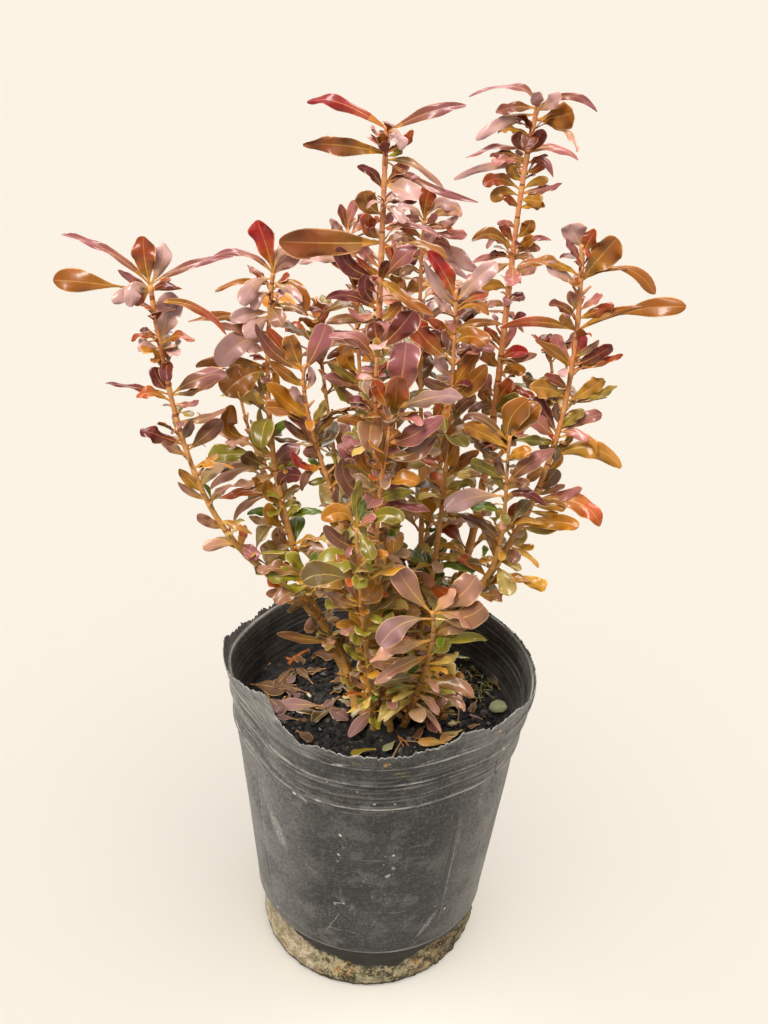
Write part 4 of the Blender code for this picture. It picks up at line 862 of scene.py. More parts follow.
# Limb, then base, middle and tip as seen in that view, width there, tint, how far it faces the front (below 0 shows the
# underside), and how far behind its base the tip lies, mm.
OUTLINE = (
    ("stem_centre", 386, 345, 402, 352, 420, 350, 16, "maroon", 0.6, -10),
    ("stem_centre", 384, 156, 382, 144, 384, 133, 11, "ochre", 0.9, -3),
    ("stem_centre", 387, 198, 400, 201, 417, 201, 6, "maroon", 0.4, -4),
    ("stem_centre", 380, 240, 370, 230, 369, 214, 16, "bronze", 0.9, -4),
    ("stem_centre", 377, 280, 352, 268, 339, 247, 18, "maroon", 0.85, -5),
    ("stem_centre", 379, 268, 368, 256, 362, 247, 13, "pink", 0.8, -3),
    ("stem_centre", 382, 282, 384, 270, 389, 261, 11, "brown", 0.9, -6),
    ("stem_centre", 380, 304, 366, 292, 367, 275, 17, "maroon", 0.9, -3),
    ("stem_centre", 378, 310, 352, 296, 326, 299, 13, "maroon", 0.7, -6),
    ("stem_centre", 377, 308, 364, 318, 348, 308, 8, "pink", 0.6, -4),
    ("stem_centre", 384, 320, 392, 312, 400, 302, 14, "ochre", 0.8, 0),
    ("stem_centre", 384, 278, 402, 296, 434, 316, 13, "ochre", 0.6, -6),
    ("stem_centre", 376, 600, 390, 592, 404, 590, 12, "green", 0.8, -6),
    ("stem_centre", 376, 620, 366, 612, 354, 612, 9, "bronze", 0.7, -6),
    ("stem_centre", 382, 690, 374, 684, 364, 686, 7, "ochre", 0.7, -8),
    ("stem_centre", 384, 190, 373, 174, 357, 166, 10, "maroon", 0.7, -3),
    ("stem_centre", 386, 185, 398, 172, 409, 163, 10, "garnet", 0.7, 3),
    ("stem_centre", 388, 248, 416, 243, 447, 258, 13, "olive", 0.7, -8, True),
    ("stem_centre", 392, 154, 404, 142, 413, 130, 10, "rust", 0.8, -2),
    ("stem_centre", 381, 214, 369, 205, 364, 191, 23, "olive", 0.95, -4),
    ("stem_centre", 383, 142, 377, 135, 371, 129, 13, "silver_sheen", 0.5, -4),
    ("stem_centre", 388, 132, 396, 135, 400, 150, 17, "silver_sheen", 0.75, -8),
    ("stem_centre", 388, 185, 404, 177, 421, 179, 8, "plum", 0.7, -4),
    ("stem_centre", 387, 184, 402, 190, 418, 200, 22, "silver_sheen", 0.8, -10),
    ("stem_centre", 388, 230, 414, 225, 441, 237, 7, "plum", 0.6, -6),
    ("stem_centre", 386, 282, 400, 260, 418, 248, 18, "plum", 0.8, -2),
    ("stem_centre", 386, 136, 388, 129, 390, 124, 8, "amber", 0.8, 0),
    ("stem_centre", 390, 158, 397, 153, 402, 147, 8, "moss", 0.8, -2),
    ("stem_centre", 381, 330, 380, 326, 378, 318, 8, "maroon", 0.8, -4),
    ("stem_centre", 378, 241, 327, 243, 279, 241, 30, "sienna", 0.95, -8),
    ("stem_centre", 384, 206, 394, 211, 405, 223, 11, "silver_sheen", 0.8, -6),
    ("stem_centre", 382, 152, 340, 145, 303, 145, 18, "sienna", 0.85, -6),
    ("stem_centre", 376, 128, 340, 103, 307, 102, 14, "crimson", 0.8, 2),
    ("stem_centre", 391, 160, 431, 187, 478, 202, 8, "plum", 0.85, -12),
    ("stem_centre", 384, 226, 389, 220, 391, 212, 9, "plum", 0.85, -4),
    ("stem_centre", 398, 131, 430, 112, 466, 105, 13, "plum", 0.85, -4),
    ("stem_centre", 388, 160, 414, 164, 444, 189, 8, "clay", 0.85, -8),
    ("stem_centre", 380, 324, 350, 318, 326, 323, 11, "dun", 0.85, -4),
    ("stem_centre", 380, 276, 368, 268, 355, 256, 8, "rust", 0.85, -4),
    ("stem_far_left", 151, 285, 145, 261, 143, 236, 24, "bronze", 0.95, 2),
    ("stem_far_left", 168, 393, 160, 382, 153, 367, 15, "maroon", 0.8, 2),
    ("stem_far_left", 170, 393, 198, 379, 227, 374, 17, "mauve_sheen", 0.6, 0),
    ("stem_far_left", 180, 448, 160, 436, 140, 430, 15, "maroon", 0.6, -6),
    ("stem_far_left", 185, 452, 205, 436, 222, 420, 18, "dusk", 0.8, 2),
    ("stem_far_left", 236, 545, 220, 544, 203, 549, 12, "pink", 0.7, -5),
    ("stem_far_left", 340, 655, 341, 636, 341, 618, 11, "brown", 0.8, 3),
    ("stem_far_left", 310, 606, 290, 598, 266, 594, 14, "dusk", 0.8, -6),
    ("stem_far_left", 318, 626, 310, 630, 311, 618, 10, "mauve_sheen", 0.8, -4),
    ("stem_far_left", 318, 648, 326, 644, 335, 640, 9, "pink", 0.7, -6),
    ("stem_far_left", 220, 522, 232, 524, 252, 534, 8, "bronze", 0.6, -3),
    ("stem_far_left", 192, 468, 210, 464, 234, 468, 9, "ochre", 0.6, -3),
    ("stem_far_left", 172, 402, 188, 405, 199, 400, 7, "pink", 0.6, -2),
    ("stem_far_left", 163, 346, 166, 319, 172, 292, 27, "silver_sheen", 0.95, 2),
    ("stem_far_left", 149, 291, 136, 287, 130, 307, 16, "silver_sheen", 0.85, -8),
    ("stem_far_left", 160, 346, 147, 334, 131, 341, 10, "rust", 0.6, -4),
    ("stem_far_left", 162, 346, 177, 336, 195, 341, 11, "rust", 0.6, -4),
    ("stem_far_left", 160, 352, 148, 346, 138, 351, 9, "silver_sheen", 0.7, -6),
    ("stem_far_left", 163, 350, 170, 350, 178, 356, 13, "silver_sheen", 0.8, -6),
    ("stem_far_left", 170, 402, 152, 393, 137, 398, 13, "orange", 0.7, -6),
    ("stem_far_left", 322, 650, 298, 638, 277, 634, 10, "dun", 0.75, -12),
    ("stem_far_left", 240, 542, 248, 550, 256, 560, 15, "plum", 0.8, -6),
    ("stem_far_left", 153, 293, 163, 285, 177, 288, 8, "maroon", 0.7, -4),
    ("stem_far_left", 155, 288, 163, 281, 171, 280, 6, "bronze", 0.7, -2),
    ("stem_far_left", 202, 494, 191, 481, 179, 469, 11, "gold", 0.8, -3),
    ("stem_far_left", 198, 490, 208, 475, 225, 466, 13, "sand", 0.85, -5),
    ("stem_far_left", 186, 458, 174, 449, 162, 442, 10, "clay", 0.8, -4),
    ("stem_far_left", 170, 396, 196, 390, 221, 379, 8, "dusk", 0.7, -4),
    ("stem_far_left", 207, 504, 218, 493, 232, 485, 8, "clay", 0.8, -4),
    ("stem_far_left", 157, 304, 195, 307, 226, 335, 9, "rust", 0.85, -6),
    ("stem_far_left", 178, 440, 187, 433, 191, 420, 11, "dusk", 0.85, -3),
    ("stem_far_left", 150, 290, 134, 280, 118, 270, 9, "mauve_sheen", 0.85, -3),
    ("stem_far_left", 152, 292, 166, 288, 182, 289, 6, "rust", 0.8, -3),
    ("stem_far_left", 154, 284, 190, 265, 233, 256, 9, "mauve_sheen", 0.8, 5),
    ("stem_far_left", 154, 284, 162, 262, 163, 242, 19, "silver_sheen", 0.9, 8),
    ("stem_far_left", 150, 288, 132, 292, 113, 303, 14, "silver_sheen", 0.9, -6),
    ("stem_far_left", 168, 394, 136, 387, 105, 384, 7, "maroon", 0.6, -3),
    ("stem_far_left", 224, 530, 211, 523, 197, 515, 11, "mauve_sheen", 0.8, -5),
    ("stem_far_left", 150, 294, 142, 296, 136, 306, 12, "bronze", 0.85, -4),
    ("stem_far_left", 204, 500, 190, 492, 178, 482, 8, "clay", 0.85, -3),
    ("stem_far_left", 174, 422, 202, 419, 226, 409, 8, "clay", 0.8, -4),
    ("stem_far_left", 148, 290, 100, 284, 53, 280, 23, "amber", 0.95, -4, True),
    ("stem_far_left", 148, 284, 107, 250, 62, 235, 9, "mauve_sheen", 0.8, 4),
    ("stem_left", 275, 272, 266, 245, 257, 220, 22, "red", 0.95, 2),
    ("stem_left", 274, 314, 300, 307, 323, 313, 8, "dusk", 0.5, -4),
    ("stem_left", 266, 332, 232, 319, 206, 314, 8, "ochre", 0.6, -4),
    ("stem_left", 266, 372, 246, 376, 224, 394, 32, "bronze", 0.9, -8),
    ("stem_left", 266, 366, 226, 361, 196, 367, 12, "bronze", 0.7, -2),
    ("stem_left", 268, 406, 254, 398, 238, 394, 16, "straw", 0.75, -8),
    ("stem_left", 270, 440, 276, 430, 287, 421, 10, "green", 0.8, 0),
    ("stem_left", 270, 438, 284, 440, 299, 441, 6, "brown", 0.5, 0),
    ("stem_left", 268, 472, 253, 460, 244, 454, 15, "brown", 0.8, -3),
    ("stem_left", 273, 472, 282, 456, 300, 448, 19, "mauve_sheen", 0.9, 0),
    ("stem_left", 280, 492, 284, 477, 302, 476, 17, "maroon", 0.85, -4),
    ("stem_left", 272, 474, 250, 484, 227, 486, 11, "pink", 0.65, -2),
    ("stem_left", 276, 492, 248, 491, 220, 499, 10, "orange", 0.7, -3),
    ("stem_left", 278, 494, 250, 502, 234, 522, 9, "mauve_sheen", 0.7, -6),
    ("stem_left", 279, 516, 262, 511, 247, 514, 8, "green", 0.6, -3),
    ("stem_left", 286, 519, 305, 512, 324, 514, 8, "green", 0.6, -3),
    ("stem_left", 286, 547, 281, 537, 279, 528, 9, "maroon", 0.8, -3),
    ("stem_left", 292, 546, 308, 539, 325, 541, 9, "bronze", 0.6, -3),
    ("stem_left", 294, 548, 312, 553, 328, 567, 12, "brown", 0.8, -6),
    ("stem_left", 262, 470, 234, 470, 211, 489, 13, "mauve_sheen", 0.8, -3),
    ("stem_left", 300, 580, 292, 570, 284, 562, 9, "bronze", 0.8, -4),
    ("stem_left", 308, 598, 324, 590, 336, 584, 10, "maroon", 0.7, -5),
    ("stem_left", 268, 285, 242, 282, 215, 291, 8, "amber", 0.7, -6),
    ("stem_left", 264, 342, 242, 342, 219, 366, 25, "silver_sheen", 0.85, -8),
    ("stem_left", 268, 286, 258, 276, 247, 265, 8, "silver_sheen", 0.7, 0),
    ("stem_left", 268, 312, 250, 314, 230, 320, 15, "silver_sheen", 0.8, -6),
    ("stem_left", 268, 314, 258, 324, 246, 338, 18, "silver_sheen", 0.8, -10),
    ("stem_left", 270, 308, 276, 314, 282, 326, 18, "clay", 0.85, -8),
    ("stem_left", 268, 402, 250, 384, 238, 366, 9, "silver_sheen", 0.8, -3),
    ("stem_left", 278, 508, 270, 494, 268, 480, 14, "gold", 0.85, 0),
    ("stem_left", 283, 532, 273, 519, 270, 503, 14, "gold", 0.85, -2),
    ("stem_left", 290, 550, 281, 540, 277, 527, 15, "taupe", 0.85, -3),
    ("stem_left", 292, 556, 276, 547, 262, 553, 16, "dun", 0.8, -5),
    ("stem_left", 292, 560, 279, 550, 268, 540, 12, "flax", 0.85, -4),
    ("stem_left", 293, 556, 308, 546, 322, 560, 17, "dun", 0.85, -6),
    ("stem_left", 276, 500, 262, 486, 252, 478, 9, "bronze", 0.7, -2),
    ("stem_left", 284, 520, 292, 510, 300, 508, 8, "olive", 0.7, -3),
    ("stem_left", 276, 270, 287, 248, 311, 258, 19, "silver_sheen", 0.9, 2),
    ("stem_left", 275, 290, 294, 286, 306, 312, 14, "ochre", 0.7, -6),
    ("stem_left", 272, 278, 253, 286, 243, 306, 17, "silver_sheen", 0.85, -8),
    ("stem_left", 270, 322, 224, 316, 188, 322, 8, "amber", 0.7, -6),
    ("stem_left", 268, 332, 240, 329, 218, 324, 11, "clay", 0.8, -5),
    ("stem_left", 270, 292, 259, 297, 254, 310, 12, "silver_sheen", 0.85, -4),
    ("stem_left", 281, 522, 264, 522, 249, 516, 9, "sand", 0.8, -4),
    ("stem_left", 267, 352, 256, 349, 246, 351, 10, "silver_sheen", 0.8, -5),
    ("stem_left", 275, 306, 292, 307, 308, 316, 8, "dun", 0.8, -5),
    ("stem_left", 275, 284, 290, 289, 302, 302, 9, "silver_sheen", 0.85, -8),
    ("stem_left", 272, 268, 246, 254, 214, 255, 8, "plum", 0.8, 3),
    ("stem_left", 268, 452, 262, 430, 260, 408, 9, "khaki", 0.85, -4),
    ("stem_left", 274, 277, 283, 263, 301, 256, 15, "silver_sheen", 0.9, 5),
    ("stem_left", 268, 396, 262, 386, 262, 372, 9, "khaki", 0.85, -4),
    ("stem_left", 270, 456, 258, 444, 251, 430, 9, "khaki", 0.85, -4),
    ("stem_left", 268, 394, 276, 382, 272, 370, 8, "ochre", 0.85, -3),
    ("stem_left_inner", 306, 372, 317, 348, 326, 324, 24, "mauve_sheen", 0.9, 2),
    ("stem_left_inner", 308, 416, 292, 406, 267, 384, 17, "ochre", 0.8, -4),
    ("stem_left_inner", 318, 452, 306, 430, 286, 411, 15, "mauve_sheen", 0.8, -4),
    ("stem_left_inner", 322, 466, 304, 466, 290, 448, 8, "red", 0.7, -5),
    ("stem_left_inner", 322, 464, 316, 454, 303, 453, 12, "dusk", 0.7, -3),
    ("stem_left_inner", 330, 476, 322, 480, 308, 483, 8, "olive", 0.7, -2),
    ("stem_left_inner", 318, 440, 324, 426, 338, 418, 12, "brown", 0.7, -3),
    ("stem_left_inner", 332, 488, 346, 474, 350, 458, 16, "dusk", 0.9, -3),
    ("stem_left_inner", 304, 370, 274, 352, 256, 324, 13, "garnet", 0.8, -3),
    ("stem_left_inner", 303, 368, 284, 350, 268, 328, 15, "rust", 0.85, 2),
    ("stem_left_inner", 304, 375, 295, 354, 289, 336, 19, "khaki", 0.9, 0),
    ("stem_left_inner", 307, 408, 299, 398, 292, 386, 9, "silver_sheen", 0.8, -4),
    ("stem_left_inner", 314, 440, 300, 434, 284, 421, 10, "dusk", 0.8, -4),
    ("stem_left_inner", 305, 386, 288, 376, 270, 361, 12, "khaki", 0.85, -4),
    ("stem_left_inner", 312, 424, 320, 412, 325, 400, 9, "khaki", 0.85, -3),
    ("stem_left_inner", 308, 390, 312, 378, 308, 366, 8, "silver_sheen", 0.85, -4),
    ("stem_left_inner", 322, 468, 308, 474, 302, 491, 9, "dusk", 0.85, -4),
    ("stem_centre_left", 349, 236, 359, 224, 366, 212, 12, "pink", 0.7, 4),
    ("stem_centre_left", 358, 372, 348, 362, 346, 345, 19, "ochre", 0.9, -2),
    ("stem_centre_left", 347, 232, 344, 218, 340, 204, 10, "garnet", 0.7, 2),
    ("stem_centre_left", 347, 262, 325, 257, 299, 264, 9, "silver_sheen", 0.85, -4),
    ("stem_centre_left", 348, 228, 351, 214, 355, 200, 10, "pink", 0.8, 0),
    ("stem_centre_left", 357, 390, 341, 381, 322, 377, 11, "mauve_sheen", 0.85, -5),
    ("stem_centre_left", 357, 384, 343, 373, 327, 363, 9, "khaki", 0.8, -6),
    ("stem_centre_left", 356, 352, 342, 350, 327, 359, 9, "chestnut", 0.8, -4),
    ("stem_centre_left", 358, 404, 348, 398, 338, 387, 11, "dusk", 0.85, -4),
    ("stem_centre_left", 348, 236, 338, 228, 330, 219, 9, "silver_sheen", 0.85, -4),
    ("stem_centre_right", 424, 228, 440, 226, 457, 234, 11, "bronze", 0.6, -4),
    ("stem_centre_right", 422, 482, 424, 494, 434, 506, 10, "ochre", 0.8, -3),
    ("stem_centre_right", 412, 620, 424, 640, 428, 656, 9, "brown", 0.8, -6),
    ("stem_centre_right", 423, 218, 410, 208, 396, 212, 14, "silver_sheen", 0.7, -3),
    ("stem_centre_right", 424, 218, 426, 202, 431, 186, 17, "rust", 0.9, -1),
    ("stem_centre_right", 436, 205, 448, 211, 461, 217, 11, "blush", 0.8, -6),
    ("stem_centre_right", 424, 232, 446, 234, 467, 235, 11, "pink", 0.8, -7, True),
    ("stem_centre_right", 420, 250, 408, 237, 394, 239, 15, "dun", 0.8, -4),
    ("stem_centre_right", 421, 250, 428, 241, 435, 232, 13, "silver_sheen", 0.85, -3),
    ("stem_centre_right", 424, 224, 413, 219, 402, 224, 11, "plum", 0.8, -5),
    ("stem_centre_right", 425, 226, 432, 219, 437, 214, 9, "plum", 0.8, -3),
    ("stem_centre_right", 422, 236, 410, 230, 398, 222, 10, "rust", 0.8, -4),
    ("stem_centre_right", 421, 262, 412, 254, 404, 262, 10, "olive", 0.8, -4),
    ("stem_centre_right", 420, 272, 410, 268, 400, 276, 11, "dun", 0.8, -4),
    ("stem_centre_right", 420, 252, 436, 240, 450, 249, 9, "garnet", 0.6, -6),
    ("stem_centre_right", 426, 242, 452, 254, 479, 273, 16, "silver_sheen", 0.9, -6),
    ("stem_centre_right", 425, 218, 440, 203, 461, 214, 13, "silver_sheen", 0.85, -4),
    ("stem_centre_right", 426, 226, 444, 225, 458, 216, 9, "silver_sheen", 0.85, -4),
    ("stem_centre_right", 426, 254, 446, 262, 470, 281, 9, "silver_sheen", 0.85, -5),
    ("stem_right_inner", 453, 345, 470, 336, 487, 345, 20, "ochre", 0.8, -8),
    ("stem_right_inner", 452, 404, 466, 388, 487, 366, 19, "olive", 0.85, -4),
    ("stem_right_inner", 452, 394, 462, 372, 480, 350, 14, "ochre", 0.85, 0),
    ("stem_right_inner", 456, 312, 474, 304, 489, 315, 12, "ochre", 0.6, -4),
    ("stem_right_inner", 455, 338, 470, 324, 502, 324, 10, "khaki", 0.6, -2),
    ("stem_right_inner", 450, 360, 430, 344, 411, 320, 23, "bronze", 0.9, -2),
    ("stem_right_inner", 444, 472, 448, 448, 452, 426, 16, "bronze", 0.9, -3),
    ("stem_right_inner", 442, 464, 452, 460, 458, 441, 10, "ochre", 0.9, -6),
    ("stem_right_inner", 449, 424, 460, 407, 476, 396, 14, "dusk", 0.8, -4),
    ("stem_right_inner", 444, 492, 458, 484, 474, 482, 9, "olive", 0.7, -4),
    ("stem_right_inner", 457, 300, 445, 275, 428, 251, 17, "red", 0.95, -2),
    ("stem_right_inner", 455, 304, 439, 287, 424, 260, 12, "silver_sheen", 0.85, -6),
    ("stem_right_inner", 446, 478, 460, 463, 479, 452, 13, "bronze", 0.85, -4),
    ("stem_right_inner", 457, 318, 446, 307, 434, 298, 10, "silver_sheen", 0.8, -4),
    ("stem_right_inner", 450, 392, 438, 386, 424, 380, 11, "dusk", 0.85, -4),
    ("stem_right_inner", 451, 378, 443, 368, 436, 355, 12, "silver_sheen", 0.85, -4),
    ("stem_right_inner", 438, 548, 452, 546, 465, 553, 8, "gold", 0.8, -5),
    ("stem_right_inner", 455, 336, 442, 328, 428, 319, 10, "bronze", 0.85, -4),
    ("stem_right_inner", 459, 303, 474, 282, 497, 262, 19, "silver_sheen", 0.9, 3),
    ("stem_right_inner", 440, 560, 450, 557, 460, 554, 9, "khaki", 0.8, -4),
    ("stem_front", 378, 348, 376, 335, 374, 322, 18, "brown", 0.9, 2),
    ("stem_front", 380, 350, 398, 330, 413, 310, 25, "dusk", 0.9, -3),
    ("stem_front", 377, 364, 356, 338, 329, 337, 14, "mauve_sheen", 0.6, -4),
    ("stem_front", 380, 360, 377, 349, 376, 338, 10, "straw", 0.9, -8),
    ("stem_front", 376, 454, 384, 442, 402, 436, 18, "ochre", 0.85, -6),
    ("stem_front", 378, 488, 352, 488, 342, 458, 18, "dusk", 0.9, -3),
    ("stem_front", 379, 478, 364, 466, 358, 446, 12, "bronze", 0.9, -3),
    ("stem_front", 384, 482, 398, 470, 404, 452, 14, "bronze", 0.9, -4),
    ("stem_front", 396, 640, 404, 646, 414, 655, 8, "olive", 0.8, -6),
    ("stem_front", 397, 626, 388, 621, 374, 622, 9, "mauve_sheen", 0.7, -6),
    ("stem_front", 377, 432, 358, 421, 337, 420, 11, "bronze", 0.85, -4),
    ("stem_front_low", 397, 410, 430, 398, 463, 397, 17, "faded_rose", 0.65, -5),
    ("stem_front_low", 397, 414, 410, 417, 421, 426, 13, "pink", 0.7, -8),
    ("stem_front_low", 394, 412, 382, 396, 374, 380, 16, "bronze", 0.8, 2),
    ("stem_front_low", 397, 414, 402, 376, 406, 342, 33, "plum", 0.95, 0),
    ("stem_front_low", 396, 416, 396, 396, 397, 376, 27, "orange", 0.95, -10),
    ("stem_front_low", 388, 442, 412, 436, 443, 416, 20, "mauve_sheen", 0.8, -6),
    ("stem_front_low", 386, 456, 412, 454, 437, 435, 16, "dusk", 0.85, -4),
    ("stem_front_low", 378, 514, 400, 506, 430, 512, 12, "maroon", 0.7, -4),
    ("stem_front_low", 377, 538, 380, 548, 403, 564, 8, "dusk", 0.7, -3),
    ("stem_front_low", 377, 548, 381, 538, 385, 527, 13, "brown", 0.9, -3),
    ("stem_front_low", 378, 502, 392, 494, 412, 492, 12, "olive", 0.7, -5),
    ("stem_front_low", 382, 650, 374, 643, 362, 642, 9, "bronze", 0.7, -6),
    ("stem_front_low", 384, 664, 396, 663, 404, 668, 8, "olive", 0.7, -6),
    ("stem_front_low", 388, 694, 376, 696, 366, 706, 8, "dusk", 0.7, -8),
    ("stem_front_low", 388, 700, 398, 702, 406, 712, 7, "bronze", 0.7, -8),
    ("stem_front_low", 388, 690, 386, 706, 378, 722, 9, "flax", 0.8, -12),
    ("stem_tall_right", 500, 352, 480, 340, 463, 348, 14, "mauve_sheen", 0.7, -3),
    ("stem_tall_right", 497, 404, 503, 392, 512, 380, 18, "orange", 0.9, -3),
    ("stem_tall_right", 496, 414, 504, 406, 520, 398, 20, "olive", 0.9, -8),
    ("stem_tall_right", 494, 398, 488, 388, 490, 374, 10, "pink", 0.8, -3),
    ("stem_tall_right", 504, 360, 512, 353, 528, 352, 12, "red", 0.7, -5),
    ("stem_tall_right", 502, 376, 512, 369, 524, 374, 13, "ochre", 0.7, -5),
    ("stem_tall_right", 482, 480, 470, 474, 458, 478, 12, "straw", 0.6, -4),
    ("stem_tall_right", 535, 112, 517, 86, 469, 98, 8, "plum", 0.4, 2),
    ("stem_tall_right", 540, 122, 557, 117, 573, 112, 26, "amber", 0.95, -8),
    ("stem_tall_right", 532, 108, 515, 107, 496, 113, 13, "garnet", 0.7, -5),
    ("stem_tall_right", 533, 133, 527, 123, 516, 117, 9, "maroon", 0.7, -5),
    ("stem_tall_right", 524, 134, 511, 129, 498, 133, 9, "gold", 0.7, -6),
    ("stem_tall_right", 552, 124, 566, 133, 577, 153, 7, "blush", 0.7, -9),
    ("stem_tall_right", 527, 152, 537, 142, 542, 129, 14, "wine", 0.9, -8),
    ("stem_tall_right", 525, 152, 519, 142, 521, 131, 12, "wine", 0.85, -8),
    ("stem_tall_right", 522, 161, 506, 153, 490, 157, 9, "garnet", 0.7, -4),
    ("stem_tall_right", 522, 164, 507, 159, 492, 166, 9, "pink", 0.8, -8),
    ("stem_tall_right", 527, 173, 536, 169, 544, 163, 9, "rust", 0.8, -4),
    ("stem_tall_right", 519, 182, 514, 174, 511, 164, 12, "gold", 0.9, -3),
    ("stem_tall_right", 519, 190, 500, 179, 484, 186, 15, "rust", 0.8, -6),
    ("stem_tall_right", 518, 196, 504, 192, 493, 202, 13, "gold", 0.85, -4),
    ("stem_tall_right", 523, 190, 537, 181, 548, 182, 10, "gold", 0.8, -4),
    ("stem_tall_right", 523, 193, 543, 189, 562, 184, 9, "plum", 0.7, -6),
    ("stem_tall_right", 521, 200, 531, 200, 542, 202, 15, "gold", 0.9, -6),
    ("stem_tall_right", 515, 230, 508, 223, 497, 224, 7, "pink", 0.7, -4),
    ("stem_tall_right", 518, 240, 526, 230, 530, 220, 15, "olive", 0.85, -2),
    ("stem_tall_right", 511, 250, 492, 234, 472, 241, 11, "olive", 0.7, -5),
    ("stem_tall_right", 510, 250, 496, 239, 487, 249, 9, "taupe", 0.7, -6),
    ("stem_tall_right", 518, 250, 525, 243, 533, 238, 12, "olive", 0.8, -6),
    ("stem_tall_right", 518, 248, 535, 238, 551, 241, 6, "plum", 0.6, -5),
    ("stem_tall_right", 508, 258, 498, 253, 490, 256, 6, "maroon", 0.6, -4),
    ("stem_tall_right", 512, 264, 513, 276, 513, 286, 18, "pink", 0.9, -12),
    ("stem_tall_right", 508, 290, 496, 285, 482, 289, 12, "gold", 0.8, -5),
    ("stem_tall_right", 512, 262, 522, 256, 534, 262, 9, "dun", 0.7, -5),
    ("stem_tall_right", 524, 150, 495, 147, 466, 159, 8, "plum", 0.6, -5),
    ("stem_tall_right", 532, 154, 553, 147, 578, 160, 9, "pink", 0.6, -5),
    ("stem_tall_right", 528, 164, 543, 161, 553, 177, 8, "plum", 0.7, -6),
    ("stem_tall_right", 510, 264, 498, 268, 486, 276, 10, "clay", 0.8, -6),
    ("stem_tall_right", 500, 368, 491, 360, 483, 349, 16, "bronze", 0.85, -5),
    ("stem_tall_right", 511, 276, 524, 270, 538, 264, 15, "clay", 0.85, -5),
    ("stem_tall_right", 504, 364, 520, 358, 537, 354, 9, "clay", 0.8, -5),
    ("stem_tall_right", 514, 244, 507, 233, 500, 224, 10, "rust", 0.8, -3),
    ("stem_tall_right", 494, 404, 486, 397, 480, 387, 12, "bronze", 0.85, -4),
    ("stem_tall_right", 503, 384, 518, 390, 536, 398, 9, "rust", 0.8, -5),
    ("stem_tall_right", 505, 352, 510, 337, 517, 322, 8, "pink", 0.8, -3),
    ("stem_tall_right", 520, 210, 532, 206, 545, 207, 9, "gold", 0.8, -4),
    ("stem_tall_right", 548, 106, 573, 96, 597, 112, 8, "plum", 0.8, -4),
    ("stem_tall_right", 528, 113, 502, 123, 476, 140, 13, "silver_sheen", 0.85, -9),
    ("stem_tall_right", 524, 166, 490, 166, 454, 180, 9, "silver_sheen", 0.85, -8),
    ("stem_tall_right", 519, 208, 512, 202, 503, 196, 9, "bronze", 0.85, -4),
    ("stem_tall_right", 504, 346, 492, 334, 484, 325, 8, "bronze", 0.85, -4),
    ("stem_tall_right", 509, 304, 517, 298, 525, 299, 8, "silver_sheen", 0.85, -4),
    ("stem_tall_right", 538, 110, 537, 102, 533, 93, 13, "silver_sheen", 0.9, -5),
    ("stem_tall_right", 541, 112, 550, 104, 562, 97, 16, "silver_sheen", 0.9, -9),
    ("stem_tall_right", 512, 258, 490, 256, 471, 264, 7, "pink", 0.85, -6),
    ("stem_tall_right", 508, 308, 497, 303, 488, 307, 9, "clay", 0.85, -4),
    ("stem_tall_right", 496, 410, 484, 404, 468, 414, 9, "dusk", 0.85, -4),
    ("stem_tall_right", 515, 256, 527, 247, 540, 250, 10, "clay", 0.85, -4),
    ("stem_far_right", 567, 398, 544, 392, 526, 378, 10, "brown", 0.8, -4),
    ("stem_far_right", 567, 404, 588, 399, 607, 398, 4, "mauve_sheen", 0.5, -4),
    ("stem_far_right", 557, 438, 540, 424, 522, 407, 19, "pink", 0.85, -5),
    ("stem_far_right", 557, 434, 546, 414, 534, 398, 17, "maroon", 0.85, 0),
    ("stem_far_right", 561, 430, 570, 418, 585, 412, 12, "bronze", 0.8, 0),
    ("stem_far_right", 546, 496, 546, 482, 557, 469, 18, "brown", 0.9, -2),
    ("stem_far_right", 551, 460, 545, 448, 546, 438, 11, "dusk", 0.9, 0),
    ("stem_far_right", 540, 508, 562, 496, 582, 488, 11, "pink", 0.75, -4),
    ("stem_far_right", 531, 531, 555, 522, 579, 526, 17, "ochre", 0.8, -9),
    ("stem_far_right", 521, 553, 530, 557, 538, 568, 7, "ochre", 0.7, -4),
    ("stem_far_right", 521, 551, 527, 547, 532, 545, 7, "ochre", 0.7, -4),
    ("stem_far_right", 498, 558, 510, 556, 520, 560, 14, "mauve_sheen", 0.8, -5),
    ("stem_far_right", 484, 574, 470, 562, 456, 558, 11, "orange", 0.7, -4),
    ("stem_far_right", 580, 247, 576, 236, 570, 224, 25, "silver_sheen", 0.95, -2),
    ("stem_far_right", 581, 280, 600, 257, 617, 238, 29, "amber", 0.95, -2),
    ("stem_far_right", 576, 287, 560, 273, 546, 262, 13, "silver_sheen", 0.8, -2),
    ("stem_far_right", 575, 318, 562, 307, 549, 305, 11, "garnet", 0.8, -5),
    ("stem_far_right", 574, 362, 561, 350, 556, 334, 14, "pink", 0.85, 0),
    ("stem_far_right", 578, 368, 596, 356, 612, 345, 14, "maroon", 0.8, -6),
    ("stem_far_right", 578, 372, 600, 362, 623, 354, 9, "bronze", 0.7, -6),
    ("stem_far_right", 577, 366, 578, 350, 583, 334, 15, "red", 0.9, 0),
    ("stem_far_right", 569, 400, 549, 389, 530, 388, 19, "gold", 0.9, -8),
    ("stem_far_right", 574, 404, 589, 390, 603, 378, 16, "gold", 0.85, -4),
    ("stem_far_right", 574, 406, 598, 394, 617, 386, 10, "khaki", 0.8, -6),
    ("stem_far_right", 582, 312, 592, 302, 603, 296, 10, "pink", 0.8, -2),
    ("stem_far_right", 572, 392, 558, 382, 544, 376, 12, "garnet", 0.8, -4),
    ("stem_far_right", 540, 388, 532, 382, 526, 377, 11, "brown", 0.8, -4),
